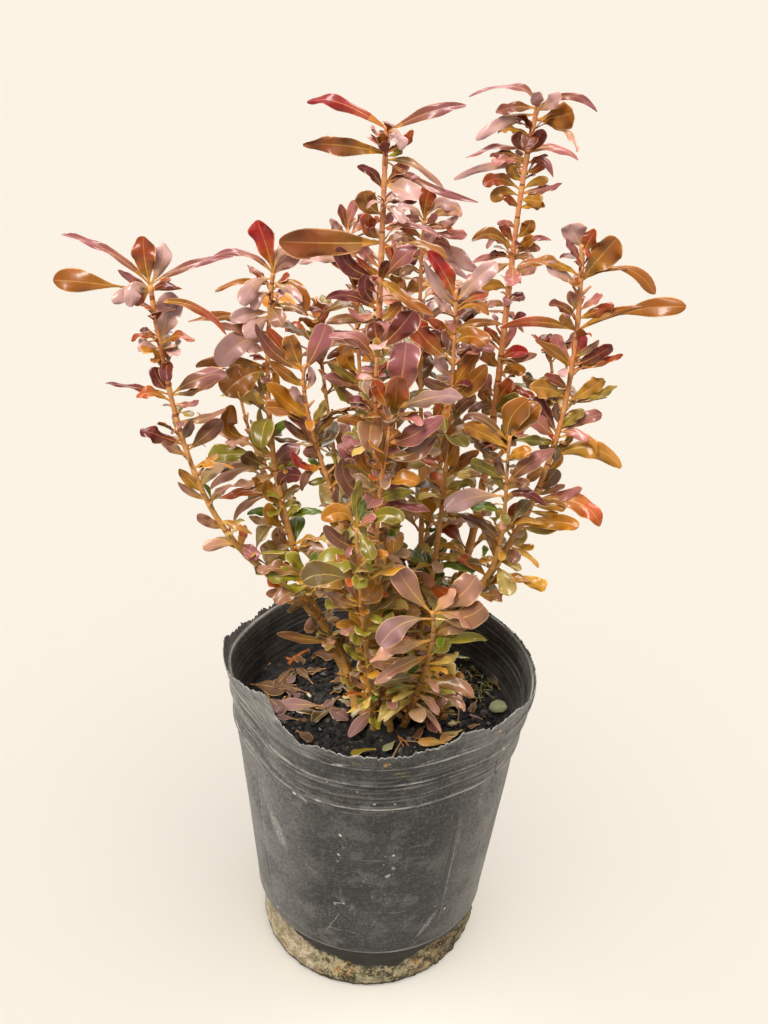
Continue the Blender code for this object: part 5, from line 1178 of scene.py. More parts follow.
    ("stem_far_right", 497, 566, 504, 580, 509, 596, 19, "flax", 0.85, -8),
    ("stem_far_right", 484, 592, 504, 578, 530, 581, 11, "bronze", 0.7, -6),
    ("stem_far_right", 500, 572, 526, 580, 546, 588, 14, "ochre", 0.8, -6, True),
    ("stem_far_right", 543, 504, 578, 503, 600, 526, 20, "orange", 0.8, -9),
    ("stem_far_right", 503, 528, 513, 517, 523, 506, 16, "rust", 0.9, -4),
    ("stem_far_right", 563, 430, 584, 419, 602, 414, 14, "mauve_sheen", 0.85, -6),
    ("stem_far_right", 559, 434, 574, 432, 588, 441, 11, "pink", 0.8, -6),
    ("stem_far_right", 556, 460, 590, 448, 621, 468, 18, "gold", 0.9, -9),
    ("stem_far_right", 576, 276, 548, 262, 517, 266, 12, "amber", 0.7, -3),
    ("stem_far_right", 575, 366, 556, 353, 535, 340, 11, "khaki", 0.85, -6),
    ("stem_far_right", 562, 430, 572, 418, 584, 410, 11, "khaki", 0.8, -4),
    ("stem_far_right", 560, 438, 584, 436, 597, 454, 8, "ochre", 0.75, -8),
    ("stem_far_right", 482, 598, 492, 595, 505, 592, 15, "dun", 0.85, -8),
    ("stem_far_right", 530, 534, 521, 533, 513, 536, 8, "sand", 0.8, -4),
    ("stem_far_right", 581, 258, 588, 243, 596, 230, 15, "rust", 0.9, -2),
    ("stem_far_right", 498, 562, 510, 563, 521, 570, 9, "flax", 0.8, -6),
    ("stem_far_right", 581, 262, 574, 250, 566, 239, 8, "plum", 0.9, -1),
    ("stem_far_right", 551, 474, 556, 464, 561, 453, 9, "ochre", 0.85, -2),
    ("stem_far_right", 541, 510, 553, 507, 566, 508, 9, "gold", 0.8, -4),
    ("stem_far_right", 578, 330, 632, 311, 686, 307, 19, "amber", 0.95, -8, True),
    ("stem_far_right", 582, 280, 623, 268, 655, 294, 14, "amber", 0.9, -6, True),
    ("stem_far_right", 574, 330, 538, 322, 500, 328, 11, "bronze", 0.8, -8),
    ("stem_far_right", 579, 320, 596, 312, 614, 305, 11, "bronze", 0.85, -4),
    ("stem_far_right", 557, 444, 538, 441, 516, 440, 10, "olive", 0.85, -5),
    ("stem_far_right", 550, 470, 539, 472, 527, 481, 10, "bronze", 0.85, -5),
    ("stem_far_right", 543, 498, 552, 490, 565, 485, 7, "clay", 0.8, -4),
    ("stem_far_right", 556, 452, 564, 444, 573, 436, 8, "brown", 0.85, -4),
    ("stem_far_right", 563, 424, 556, 414, 556, 402, 8, "dusk", 0.85, -4),
    ("stem_far_right", 578, 358, 588, 350, 599, 340, 8, "clay", 0.85, -4),
    ("stem_far_right", 580, 330, 608, 314, 642, 306, 7, "amber", 0.9, -5),
    ("stem_far_right", 582, 281, 602, 270, 628, 269, 5, "amber", 0.9, -4),
    ("stem_far_right", 580, 312, 572, 300, 570, 291, 11, "clay", 0.85, -3),
    ("stem_far_right", 534, 530, 524, 536, 514, 544, 9, "flax", 0.85, -4),
    ("stem_far_right", 530, 532, 545, 530, 560, 526, 9, "flax", 0.85, -5),
    ("stem_far_right", 541, 516, 549, 514, 557, 512, 7, "gold", 0.8, -4),
    ("stem_far_right", 577, 330, 568, 322, 560, 316, 10, "gold", 0.85, -4),
    ("bough_right_low", 511, 438, 527, 418, 540, 404, 20, "bronze", 0.9, 2),
    ("bough_right_low", 500, 514, 485, 506, 471, 509, 13, "green", 0.7, -4),
    ("bough_right_low", 509, 454, 482, 434, 462, 432, 16, "bronze", 0.8, -3),
    ("bough_right_low", 509, 442, 480, 418, 463, 421, 10, "dusk", 0.5, -2),
    ("bough_right_low", 508, 442, 510, 420, 528, 400, 24, "bronze", 0.9, -4),
    ("bough_right_low", 508, 460, 518, 453, 531, 452, 14, "ochre", 0.8, -3),
    ("bough_right_low", 502, 545, 485, 526, 461, 516, 12, "dusk", 0.8, -3),
    ("bough_right_low", 505, 497, 525, 493, 546, 506, 10, "maroon", 0.6, -4),
    ("bough_right_low", 504, 494, 500, 482, 490, 474, 10, "olive", 0.8, -2),
    ("bough_right_low", 507, 484, 528, 464, 554, 450, 17, "mauve_sheen", 0.85, -2),
    ("bough_right_low", 502, 448, 482, 433, 463, 426, 16, "ochre", 0.85, -6),
    ("bough_right_low", 500, 496, 470, 498, 447, 512, 21, "silver_sheen", 0.85, -6),
    ("bough_right_low", 504, 480, 486, 469, 470, 463, 13, "olive", 0.85, -4),
    ("bough_right_low", 505, 478, 500, 468, 497, 456, 10, "dusk", 0.85, -4),
    ("bough_right_low", 503, 462, 488, 454, 474, 440, 10, "brown", 0.85, -4),
    ("bough_right_low", 505, 490, 516, 484, 530, 482, 10, "dun", 0.85, -4),
    ("bough_right_low", 495, 563, 494, 543, 482, 528, 13, "dusk", 0.85, -4),
    ("stem_rosette_right", 431, 640, 398, 648, 370, 662, 14, "pink", 0.8, -12),
    ("stem_rosette_right", 428, 655, 398, 668, 375, 684, 13, "mauve_sheen", 0.8, -14),
    ("stem_rosette_right", 434, 613, 443, 602, 456, 590, 14, "pink", 0.6, -2),
    ("stem_rosette_right", 434, 614, 454, 614, 471, 628, 12, "mauve_sheen", 0.5, -6),
    ("stem_rosette_right", 435, 618, 462, 618, 484, 606, 26, "dusk", 0.85, -6),
    ("stem_rosette_right", 430, 637, 447, 628, 471, 624, 16, "dusk", 0.8, -5),
    ("stem_rosette_right", 433, 644, 466, 638, 487, 640, 10, "olive", 0.7, -6),
    ("stem_rosette_right", 430, 648, 440, 638, 453, 634, 10, "olive", 0.8, -3),
    ("stem_rosette_right", 428, 650, 410, 644, 395, 642, 12, "orange", 0.8, -5),
    ("stem_rosette_right", 426, 660, 392, 664, 369, 656, 15, "dusk", 0.8, -8),
    ("stem_rosette_right", 422, 674, 390, 680, 373, 681, 13, "brown", 0.8, -8),
    ("stem_rosette_right", 420, 680, 412, 672, 419, 666, 9, "green", 0.8, -4),
    ("stem_rosette_right", 421, 676, 430, 682, 439, 693, 8, "mauve_sheen", 0.7, -8),
    ("stem_rosette_right", 424, 682, 454, 684, 473, 698, 14, "dun", 0.8, -8),
    ("stem_rosette_right", 428, 664, 448, 660, 458, 652, 8, "straw", 0.7, -4),
    ("stem_rosette_right", 418, 694, 430, 702, 438, 715, 9, "mauve_sheen", 0.8, -8),
    ("stem_rosette_right", 414, 702, 430, 716, 441, 733, 6, "mauve_sheen", 0.7, -8),
    ("stem_rosette_right", 420, 690, 452, 697, 464, 712, 9, "mauve_sheen", 0.7, -10),
    ("stem_rosette_right", 416, 690, 404, 694, 392, 702, 8, "straw", 0.7, -6),
    ("stem_rosette_right", 418, 686, 400, 688, 386, 694, 7, "olive", 0.7, -6),
    ("stem_rosette_right", 424, 670, 438, 668, 448, 674, 8, "ochre", 0.7, -6),
    ("stem_rosette_right", 426, 664, 414, 660, 404, 662, 9, "olive", 0.8, -5),
    ("stem_rosette_right", 431, 619, 402, 624, 380, 646, 24, "faded_rose", 0.9, -8),
    ("stem_rosette_right", 434, 614, 460, 596, 476, 576, 28, "clay", 0.95, -2),
    ("stem_rosette_right", 432, 614, 411, 590, 396, 566, 24, "clay", 0.95, -2),
    ("stem_rosette_right", 424, 686, 440, 688, 456, 694, 9, "olive", 0.8, -6),
    ("stem_rosette_right", 426, 690, 446, 690, 462, 700, 10, "clay", 0.8, -8),
    ("stem_rosette_right", 414, 700, 398, 706, 384, 722, 8, "flax", 0.7, -10),
    ("bough_left_rosette", 308, 580, 288, 575, 268, 578, 17, "olive", 0.8, -6),
    ("bough_left_rosette", 309, 580, 322, 568, 338, 562, 18, "olive", 0.8, -2),
    ("bough_left_rosette", 308, 588, 290, 592, 276, 604, 17, "dusk", 0.8, -8),
    ("bough_left_rosette", 307, 578, 282, 569, 257, 571, 14, "dusk", 0.8, -6),
    ("bough_left_rosette", 308, 577, 297, 563, 285, 555, 14, "olive", 0.8, -3),
    ("bough_left_rosette", 309, 575, 313, 563, 318, 555, 12, "green", 0.85, -2),
    ("bough_left_rosette", 309, 578, 324, 572, 340, 572, 7, "green", 0.7, -4),
    ("bough_left_rosette", 310, 580, 334, 582, 351, 568, 15, "bronze", 0.8, -5),
    ("bough_left_rosette", 309, 584, 296, 588, 282, 584, 9, "olive", 0.7, -8),
    ("stem_whorl", 361, 520, 342, 513, 322, 520, 17, "ochre", 0.8, -6),
    ("stem_whorl", 363, 520, 384, 515, 402, 522, 17, "olive", 0.8, -6),
    ("stem_whorl", 362, 525, 366, 545, 372, 560, 15, "olive", 0.8, -10),
    ("stem_whorl", 360, 520, 357, 498, 361, 480, 10, "olive", 0.9, -3),
    ("stem_whorl", 361, 518, 362, 508, 363, 500, 8, "green", 0.9, -6),
    ("stem_whorl", 360, 524, 340, 509, 319, 506, 9, "brown", 0.6, -4),
    ("stem_whorl", 362, 526, 368, 520, 376, 518, 9, "pink", 0.6, -5),
    ("stem_whorl", 360, 606, 342, 602, 328, 592, 13, "dusk", 0.8, -5),
    ("stem_whorl", 361, 604, 354, 590, 352, 576, 13, "maroon", 0.9, -3),
    ("stem_whorl", 366, 630, 352, 629, 340, 634, 10, "mauve_sheen", 0.7, -5),
    ("stem_whorl", 368, 630, 384, 624, 392, 612, 11, "olive", 0.8, -5),
    ("stem_whorl", 364, 560, 348, 558, 334, 562, 10, "bronze", 0.7, -5),
    ("stem_whorl", 360, 562, 374, 555, 388, 556, 10, "ochre", 0.7, -5),
    ("stem_whorl", 358, 546, 342, 542, 324, 526, 14, "dusk", 0.8, -3),
    ("stem_whorl", 358, 560, 347, 546, 346, 530, 11, "brown", 0.9, -3),
    ("stem_whorl", 368, 660, 354, 654, 344, 644, 9, "olive", 0.8, -5),
    ("stem_whorl", 370, 668, 380, 656, 388, 650, 9, "bronze", 0.8, -6),
    ("stem_whorl", 371, 690, 358, 684, 350, 676, 7, "mauve_sheen", 0.7, -6),
    ("stem_whorl", 371, 694, 366, 704, 358, 708, 8, "straw", 0.7, -8),
    ("bough_back_far_left", 256, 456, 232, 454, 208, 458, 20, "olive", 0.85, 0),
    ("bough_back_far_left", 254, 448, 242, 441, 225, 442, 15, "pink", 0.4, 0),
    ("bough_back_far_left", 250, 440, 222, 434, 197, 412, 12, "pink", 0.5, 0),
    ("bough_back_far_left", 250, 438, 229, 430, 232, 405, 18, "bronze", 0.9, -4),
)


def seen_at(x, y, plane):
    """The point that shows at a place of the front view and lies in the plane Y = plane."""
    ray = VIEW_AHEAD + VIEW_RIGHT * ((x - 384) / VIEW_SCALE) + VIEW_UP * ((512 - y) / VIEW_SCALE)
    return VIEW_FROM + ray * ((plane - VIEW_FROM[1]) / ray[1])


def shows_at(points):
    away = points - VIEW_FROM
    depth = away @ VIEW_AHEAD
    return np.stack([384 + VIEW_SCALE * (away @ VIEW_RIGHT) / depth, 512 - VIEW_SCALE * (away @ VIEW_UP) / depth], -1), depth


def outline_leaf(heap, rule, limb, x0, y0, x1, y1, x2, y2, width, tint, facing, behind, spoon=False):
    fine = np.linspace(0.05, 1.0, 200)
    places = limb.at(fine)
    shown, depth = shows_at(places)
    near = int(np.argmin(np.hypot(shown[:, 0] - x0, shown[:, 1] - y0)))
    base, scale = places[near], VIEW_SCALE / depth[near]
    middle, tip = seen_at(x1, y1, base[1] + behind * 0.45), seen_at(x2, y2, base[1] + behind)
    control = 2 * middle - (base + tip) / 2
    s = np.linspace(0, 1, FINE)[:, None]
    line = base * (1 - s) ** 2 + 2 * control * s * (1 - s) + tip * s**2
    toward = unit(VIEW_FROM - middle)
    sky = np.array((0.0, 0.0, 1.0))
    up = unit(toward * facing + sky * (1 - abs(facing)))
    long = math.dist(base, tip)
    tint = suited(tint, tip[2])
    # Long narrow leaves are lance-shaped and pointed, the others spoon-shaped and blunt.
    lance = 0.0 if spoon else min(1.0, max(0.0, (0.36 - width / scale / long) / 0.14))
    waver = rule.uniform(0.01, 0.035) * long * np.sin(2 * np.pi * rule.uniform(0.8, 1.6) * s + rule.uniform(0, 6.28)) * s
    add_leaf(heap, rule, line + up * waver, np.tile(up, (FINE, 1)), width / scale, tint, petiole=(rule.uniform(0.04, 0.16) if long > 22 else 0.06) * (1 - 0.6 * lance) + (0.22 if spoon else 0.0), fold=rule.uniform(-0.08, 0.22),
             wave=rule.uniform(0.12, 0.34) + 0.16 * lance, blunt=rule.uniform(2.7, 3.5) - 1.5 * lance, twist=rule.uniform(-0.5, 0.5) * (1.0 if facing > 0.75 else 1.6),
             widest=0.64 - 0.13 * lance, slow=1.35 - 0.5 * lance, grand=True, jag=0.03 + 0.035 * lance)
    return limb.run_at(float(fine[near]))


TWIGS = Heap()


# ------------------------------------------------------------------ foliage
HIGH = (("mauve_sheen", 8), ("silver_sheen", 10), ("plum", 12), ("wine", 12), ("maroon", 12), ("red", 5), ("pink", 10), ("amber", 13), ("orange", 9), ("rust", 18), ("chestnut", 11))
MIDDLE = (("mauve_sheen", 8), ("silver_sheen", 4), ("taupe", 11), ("dusk", 9), ("maroon", 7), ("bronze", 16), ("ochre", 10), ("orange", 6), ("olive", 10), ("brown", 8), ("khaki", 9), ("umber", 7), ("pink", 2), ("dun", 5), ("rust", 5))
LOW = (("bronze", 14), ("ochre", 11), ("olive", 16), ("khaki", 17), ("umber", 11), ("taupe", 10), ("dusk", 4), ("brown", 8), ("orange", 2), ("green", 5), ("mauve_sheen", 6), ("straw", 5))
BASAL = (("khaki", 17), ("olive", 16), ("umber", 10), ("bronze", 12), ("green", 5), ("straw", 11), ("ochre", 11), ("mauve_sheen", 8), ("taupe", 10))


def draw(rule, shares):
    total = sum(share for _, share in shares)
    pick = rule.uniform(0, total)
    for name, share in shares:
        pick -= share
        if pick <= 0:
            return name
    return shares[-1][0]


def suited(tint, height):
    return REDDER.get(tint, tint) if height > 305 else PALER_AS_PAINTED_LIGHT.get(tint, tint) if height < 238 else tint


def tint_for(rule, height):
    lift = (height - 180) / 220 + rule.uniform(-0.25, 0.25)
    return suited(draw(rule, HIGH if lift > 0.62 else MIDDLE if lift > 0.34 else LOW), height)


def clear_of_pot(line, over=3.0):
    low = line[:, 2] < SOIL_TOP + over
    inside = np.hypot(line[:, 0], line[:, 1]) > 60
    return not (low.any() or (inside & (line[:, 2] < 175)).any())


def near_feet(line):
    """Whether a leaf of the basal shoots stays in the clump as the front view shows it."""
    if line[:, 1].min() > 6:
        return True
    shown, _ = shows_at(line[-1:])
    x, y = shown[0]
    return 362 < x < 478 and y < np.interp(x, (362, 380, 398, 440, 478), (706, 716, 724, 722, 706))


# As seen from the front: how far left and right the plain leaves reach at each height of the view, and the ovals of open sky between the stems.
REACH_LEFT = ((80, 480), (118, 484), (122, 366), (200, 340), (220, 330), (222, 250), (262, 240), (268, 128), (290, 112), (310, 134), (335, 134), (352, 138), (380, 148),
              (392, 136), (403, 142), (425, 150), (445, 160), (460, 178), (490, 190), (510, 202), (530, 222), (546, 208), (560, 240), (580, 262), (620, 262), (660, 300), (760, 330))
REACH_RIGHT = ((80, 578), (150, 578), (165, 556), (200, 543), (218, 520), (222, 620), (262, 612), (272, 588), (290, 586), (300, 608), (314, 600), (325, 590), (335, 590), (346, 612),
               (356, 618), (364, 598), (376, 592), (384, 612), (398, 604), (412, 598), (428, 602), (445, 596), (462, 572), (490, 560), (504, 576), (528, 576), (542, 534), (566, 534),
               (582, 545), (598, 512), (620, 488), (660, 480), (760, 450))
SKIES = ((318, 281, 29, 15), (314, 392, 11, 17), (327, 400, 12, 8), (316, 499, 17, 10), (203, 346, 20, 15), (155, 414, 17, 10), (243, 417, 9, 13), (174, 470, 10, 9), (203, 521, 9, 9), (466, 242, 13, 9),
         (444, 168, 30, 16), (560, 284, 11, 9), (597, 286, 14, 12), (538, 327, 20, 8), (546, 366, 15, 10), (544, 302, 20, 14), (218, 318, 8, 8), (150, 325, 6, 5), (472, 543, 9, 14),
         (226, 448, 10, 7), (226, 505, 8, 8), (318, 526, 12, 6), (538, 440, 7, 7), (208, 264, 40, 0.1), (205, 285, 24, 16), (500, 215, 12, 12), (484, 222, 12, 20), (415, 531, 16, 13), (178, 377, 7, 13), (531, 112, 5, 6), (192, 361, 16, 8), (324, 492, 10, 10), (148, 383, 10, 6), (350, 657, 9, 12))


def in_crown(line):
    """Whether the outer half of a leaf keeps to the outline of the plant, and leaves the open sky free."""
    shown, _ = shows_at(line[FINE // 3 :: 4])
    for x, y in shown:
        if not np.interp(y, *zip(*REACH_LEFT)) < x < np.interp(y, *zip(*REACH_RIGHT)):
            return False
        if any(((x - cx) / rx) ** 2 + ((y - cy) / ry) ** 2 < 1 for cx, cy, rx, ry in SKIES):
            return False
    return True


def grow(heap, rule, start, azimuth, rise, length, width, tint, bend=None, over=3.0, fits=in_crown, **more):
    bend = rule.uniform(0.4, 1.7) if bend is None else bend
    for attempt in range(3):
        line, up = arched(start, azimuth, rise, length, bend, rule.uniform(-0.5, 0.5), rule.uniform(1.3, 2.6))
        if clear_of_pot(line, over) and fits(line):
            add_leaf(heap, rule, line, up, width, tint, **more)
            return True
        rise += 0.4
        length *= 0.8
    return False


def node_leaves(heap, rule, limb, place, azimuth, reach, crowded, paired=True, capped=False):
    """One node: an opposite pair of leaves, and in each axil a short shoot of small ones."""
    t = limb.t_at(place)
    centre = limb.at(t)
    radius = float(limb.radius(t))
    low = float(smooth_step(175, 132, centre[2]))
    reach = reach * (1 - 0.45 * low) * (0.62 if not paired or (capped and limb.length - place < 26) else 1.0)
    vigour = rule.uniform(0.80, 1.25)
    for side in (0, 1):
        way = azimuth + math.pi * side + rule.uniform(-0.25, 0.25)
        start = centre + np.array([math.cos(way), math.sin(way), 0]) * radius * 0.9
        length = reach * vigour * rule.uniform(0.88, 1.12)
        if paired or rule.random() < 0.3:
            grow(heap, rule, start, way, rule.uniform(0.30, 1.10), length, length * rule.uniform(0.36, 0.50), tint_for(rule, centre[2]),
                 petiole=rule.uniform(0.04, 0.16), fold=rule.uniform(-0.04, 0.26), wave=rule.uniform(0.08, 0.24), twist=rule.uniform(-0.8, 0.8))
        if rule.random() < crowded:
            shoot = centre + np.array([math.cos(way), math.sin(way), 0.6]) * radius * 1.2
            lean = np.array([math.cos(way), math.sin(way), 1.3])
            lean = lean / np.linalg.norm(lean)
            far = rule.uniform(1.0, 5.0)
            line = shoot + np.outer(np.linspace(-0.2, 1, 4) * far, lean)
            add_twig(TWIGS, line, 0.7, 0.45, BARK)
            turn = way + math.pi / 2 + rule.uniform(-0.4, 0.4)
            for k in range(rule.choice((2, 2, 3, 4))):
                small = reach * rule.uniform(0.34, 0.78)
                grow(heap, rule, line[-1] - lean * 0.4, turn + k * math.pi * (1 if k < 2 else 0.5) + rule.uniform(-0.3, 0.3),
                     rule.uniform(0.35, 1.2), small, small * rule.uniform(0.38, 0.54), tint_for(rule, centre[2]),
                     petiole=rule.uniform(0.02, 0.14), fold=rule.uniform(-0.05, 0.28), wave=rule.uniform(0.06, 0.18), twist=rule.uniform(-0.7, 0.7))


def tip_leaves(heap, rule, limb, azimuth, reach):
    """The growing tip: upright small leaves round it."""
    centre = limb.at(0.995)
    for k in range(6):
        small = reach * rule.uniform(0.35, 0.62)
        grow(heap, rule, centre, azimuth + k * math.pi / 2 + 0.5 * (k // 2) + rule.uniform(-0.3, 0.3),
             rule.uniform(0.7, 1.35), small, small * rule.uniform(0.32, 0.46), tint_for(rule, centre[2] + 30),
             bend=rule.uniform(0.2, 0.7), petiole=0.1, fold=rule.uniform(0.1, 0.3), wave=0.04)


def nearest_on(limb, x, y):
    fine = np.linspace(0.05, 1.0, 200)
    shown, _ = shows_at(limb.at(fine))
    return fine[int(np.argmin(np.hypot(shown[:, 0] - x, shown[:, 1] - y)))]


def mass_for(limb_name, run):
    """The mass on a limb whose middle is nearest to a distance along it."""
    limb = LIMBS[limb_name]
    rows = [(abs(limb.run_at(min(row[1], 1.0)) - run), name) for name, row in MASSES.items() if row[0] == limb_name]
    return min(rows)[1]


def make_basal_shoots():
    """Leafy shoots a few centimetres high round the feet of the stems, most of them on the near side."""
    rule = random.Random(77)
    heap = Heap()
    for k in range(110):
        way = rule.uniform(-math.pi, 0) if k % 5 else rule.uniform(0, math.pi)
        out = rule.uniform(7, 15) if way > 0 else rule.uniform(9, 27)
        x = 4 + out * 1.15 * math.cos(way)
        y = 2 + out * 0.72 * math.sin(way)
        foot = np.array([x, y, SOIL_TOP + 0.2])
        tall = rule.uniform(6, 24) * (1.0 if out < 18 else 0.55)
        lean = rule.uniform(0.2, 0.9)
        heading = way + rule.uniform(-0.9, 0.9)
        ahead = np.array([math.cos(heading), math.sin(heading), 0.0])
        s = np.linspace(0, 1, 7)[:, None]
        line = foot + ahead * lean * tall * s**1.3 + np.array([0, 0, 1.0]) * tall * s
        if not near_feet(line) or not near_feet(line[:1]):
            continue
        add_twig(TWIGS, line, 0.75, 0.45, BARK)
        turn = rule.uniform(0, math.pi)
        for place in np.linspace(0.22, 1.0, max(2, round(tall / 4.5))):
            centre = foot + ahead * lean * tall * place**1.3 + np.array([0, 0, 1.0]) * tall * place
            turn += math.pi / 2
            for side in (0, 1):
                small = rule.uniform(4.5, 11.0)
                grow(heap, rule, centre, turn + math.pi * side + rule.uniform(-0.4, 0.4), rule.uniform(0.15, 1.1), small, small * rule.uniform(0.42, 0.60),
                     suited(draw(rule, BASAL), 150), bend=rule.uniform(0.2, 1.2), over=1.0, fits=near_feet, petiole=rule.uniform(0.04, 0.14), fold=rule.uniform(-0.05, 0.25), wave=rule.uniform(0.06, 0.2), twist=rule.uniform(-0.7, 0.7))
    obj = heap.build("basal_shoot_leaves", sharp=60)
    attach(obj, "root")
    print("basal faces", len(heap.faces))


def make_foliage():
    plan_rule = random.Random(17)
    for limb in LIMBS.values():
        limb.nodes = limb_nodes(limb, plan_rule)
    taken = {}
    for name, (limb_name, along, half, first, reach, ends) in MASSES.items():
        limb = LIMBS[limb_name]
        middle = limb.run_at(min(along, 1.0))
        for i, place in enumerate(limb.nodes):
            apart = abs(place - middle) / (half + 3.0)
            if apart <= 9.0 and apart < taken.get((limb_name, i), (9,))[0]:
                taken[limb_name, i] = (apart, name)
    total = 0
    for order, (name, (limb_name, along, half, first, reach, ends)) in enumerate(MASSES.items()):
        limb = LIMBS[limb_name]
        rule = random.Random(900 + order)
        heap = Heap()
        azimuth = math.radians(first)
        singled = []
        for row in OUTLINE:
            if row[0] == limb_name:
                spot = limb.run_at(float(nearest_on(limb, row[1], row[2])))
                if mass_for(limb_name, spot) == name:
                    singled.append(outline_leaf(heap, rule, limb, *row[1:]))
        for i, place in enumerate(limb.nodes):
            if taken.get((limb_name, i), (0, ""))[1] == name:
                free = all(abs(place - spot) > 5.0 for spot in singled)
                bare = bool(singled) and place > limb.length - 9.0
                node_leaves(heap, rule, limb, place, azimuth + i * math.pi / 2, reach, 0.0 if bare else 0.8 if free else 0.6, free and not bare, bool(singled))
        if ends and not singled:
            tip_leaves(heap, rule, limb, azimuth, reach)
        if not heap.faces:
            node_leaves(heap, rule, limb, limb.run_at(along), azimuth, reach, 1.0)
        obj = heap.build(name + "_leaves", sharp=60)
        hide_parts(name)
        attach(obj, "root")
        total += len(heap.faces)
    make_basal_shoots()
    twigs = TWIGS.build("side_twigs")
    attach(twigs, "root")
    print("leaf faces", total, "twig faces", len(TWIGS.faces))


# ------------------------------------------------------------------ pot
def wall_radius(height):
    return LEDGE_RADIUS + (RIM_RADIUS - LEDGE_RADIUS) * (height - LEDGE_HEIGHT) / (RIM_HEIGHT - LEDGE_HEIGHT)


def out_of_round(azimuth, height):
    push = 0.0
    for centre, half, depth in DENTS:
        push = push + depth * np.exp(-((((azimuth - centre + 180) % 360 - 180) / half) ** 2))
    push = push * smooth_step(90.0, 140.0, height)
    # The foot bulges forward a little.
    push = push + 3.1 * np.exp(-((((azimuth + 102 + 180) % 360 - 180) / 52) ** 2)) * smooth_step(16.0, 3.0, height)
    heights = [row[0] for row in SETBACK]
    left, right = (np.interp(height, heights, [row[i] for row in SETBACK]) for i in (1, 2))
    across = np.cos(np.radians(azimuth))
    return push - (left + right) / 2 - (right - left) / 2 * across


def rib_waver(azimuth):
    """The ribs rise and sag a little round the pot."""
    a = np.radians(azimuth)
    return 0.35 * np.sin(3 * a + 1.0) + 0.25 * np.sin(7 * a + 0.4) + 0.12 * np.sin(17 * a)


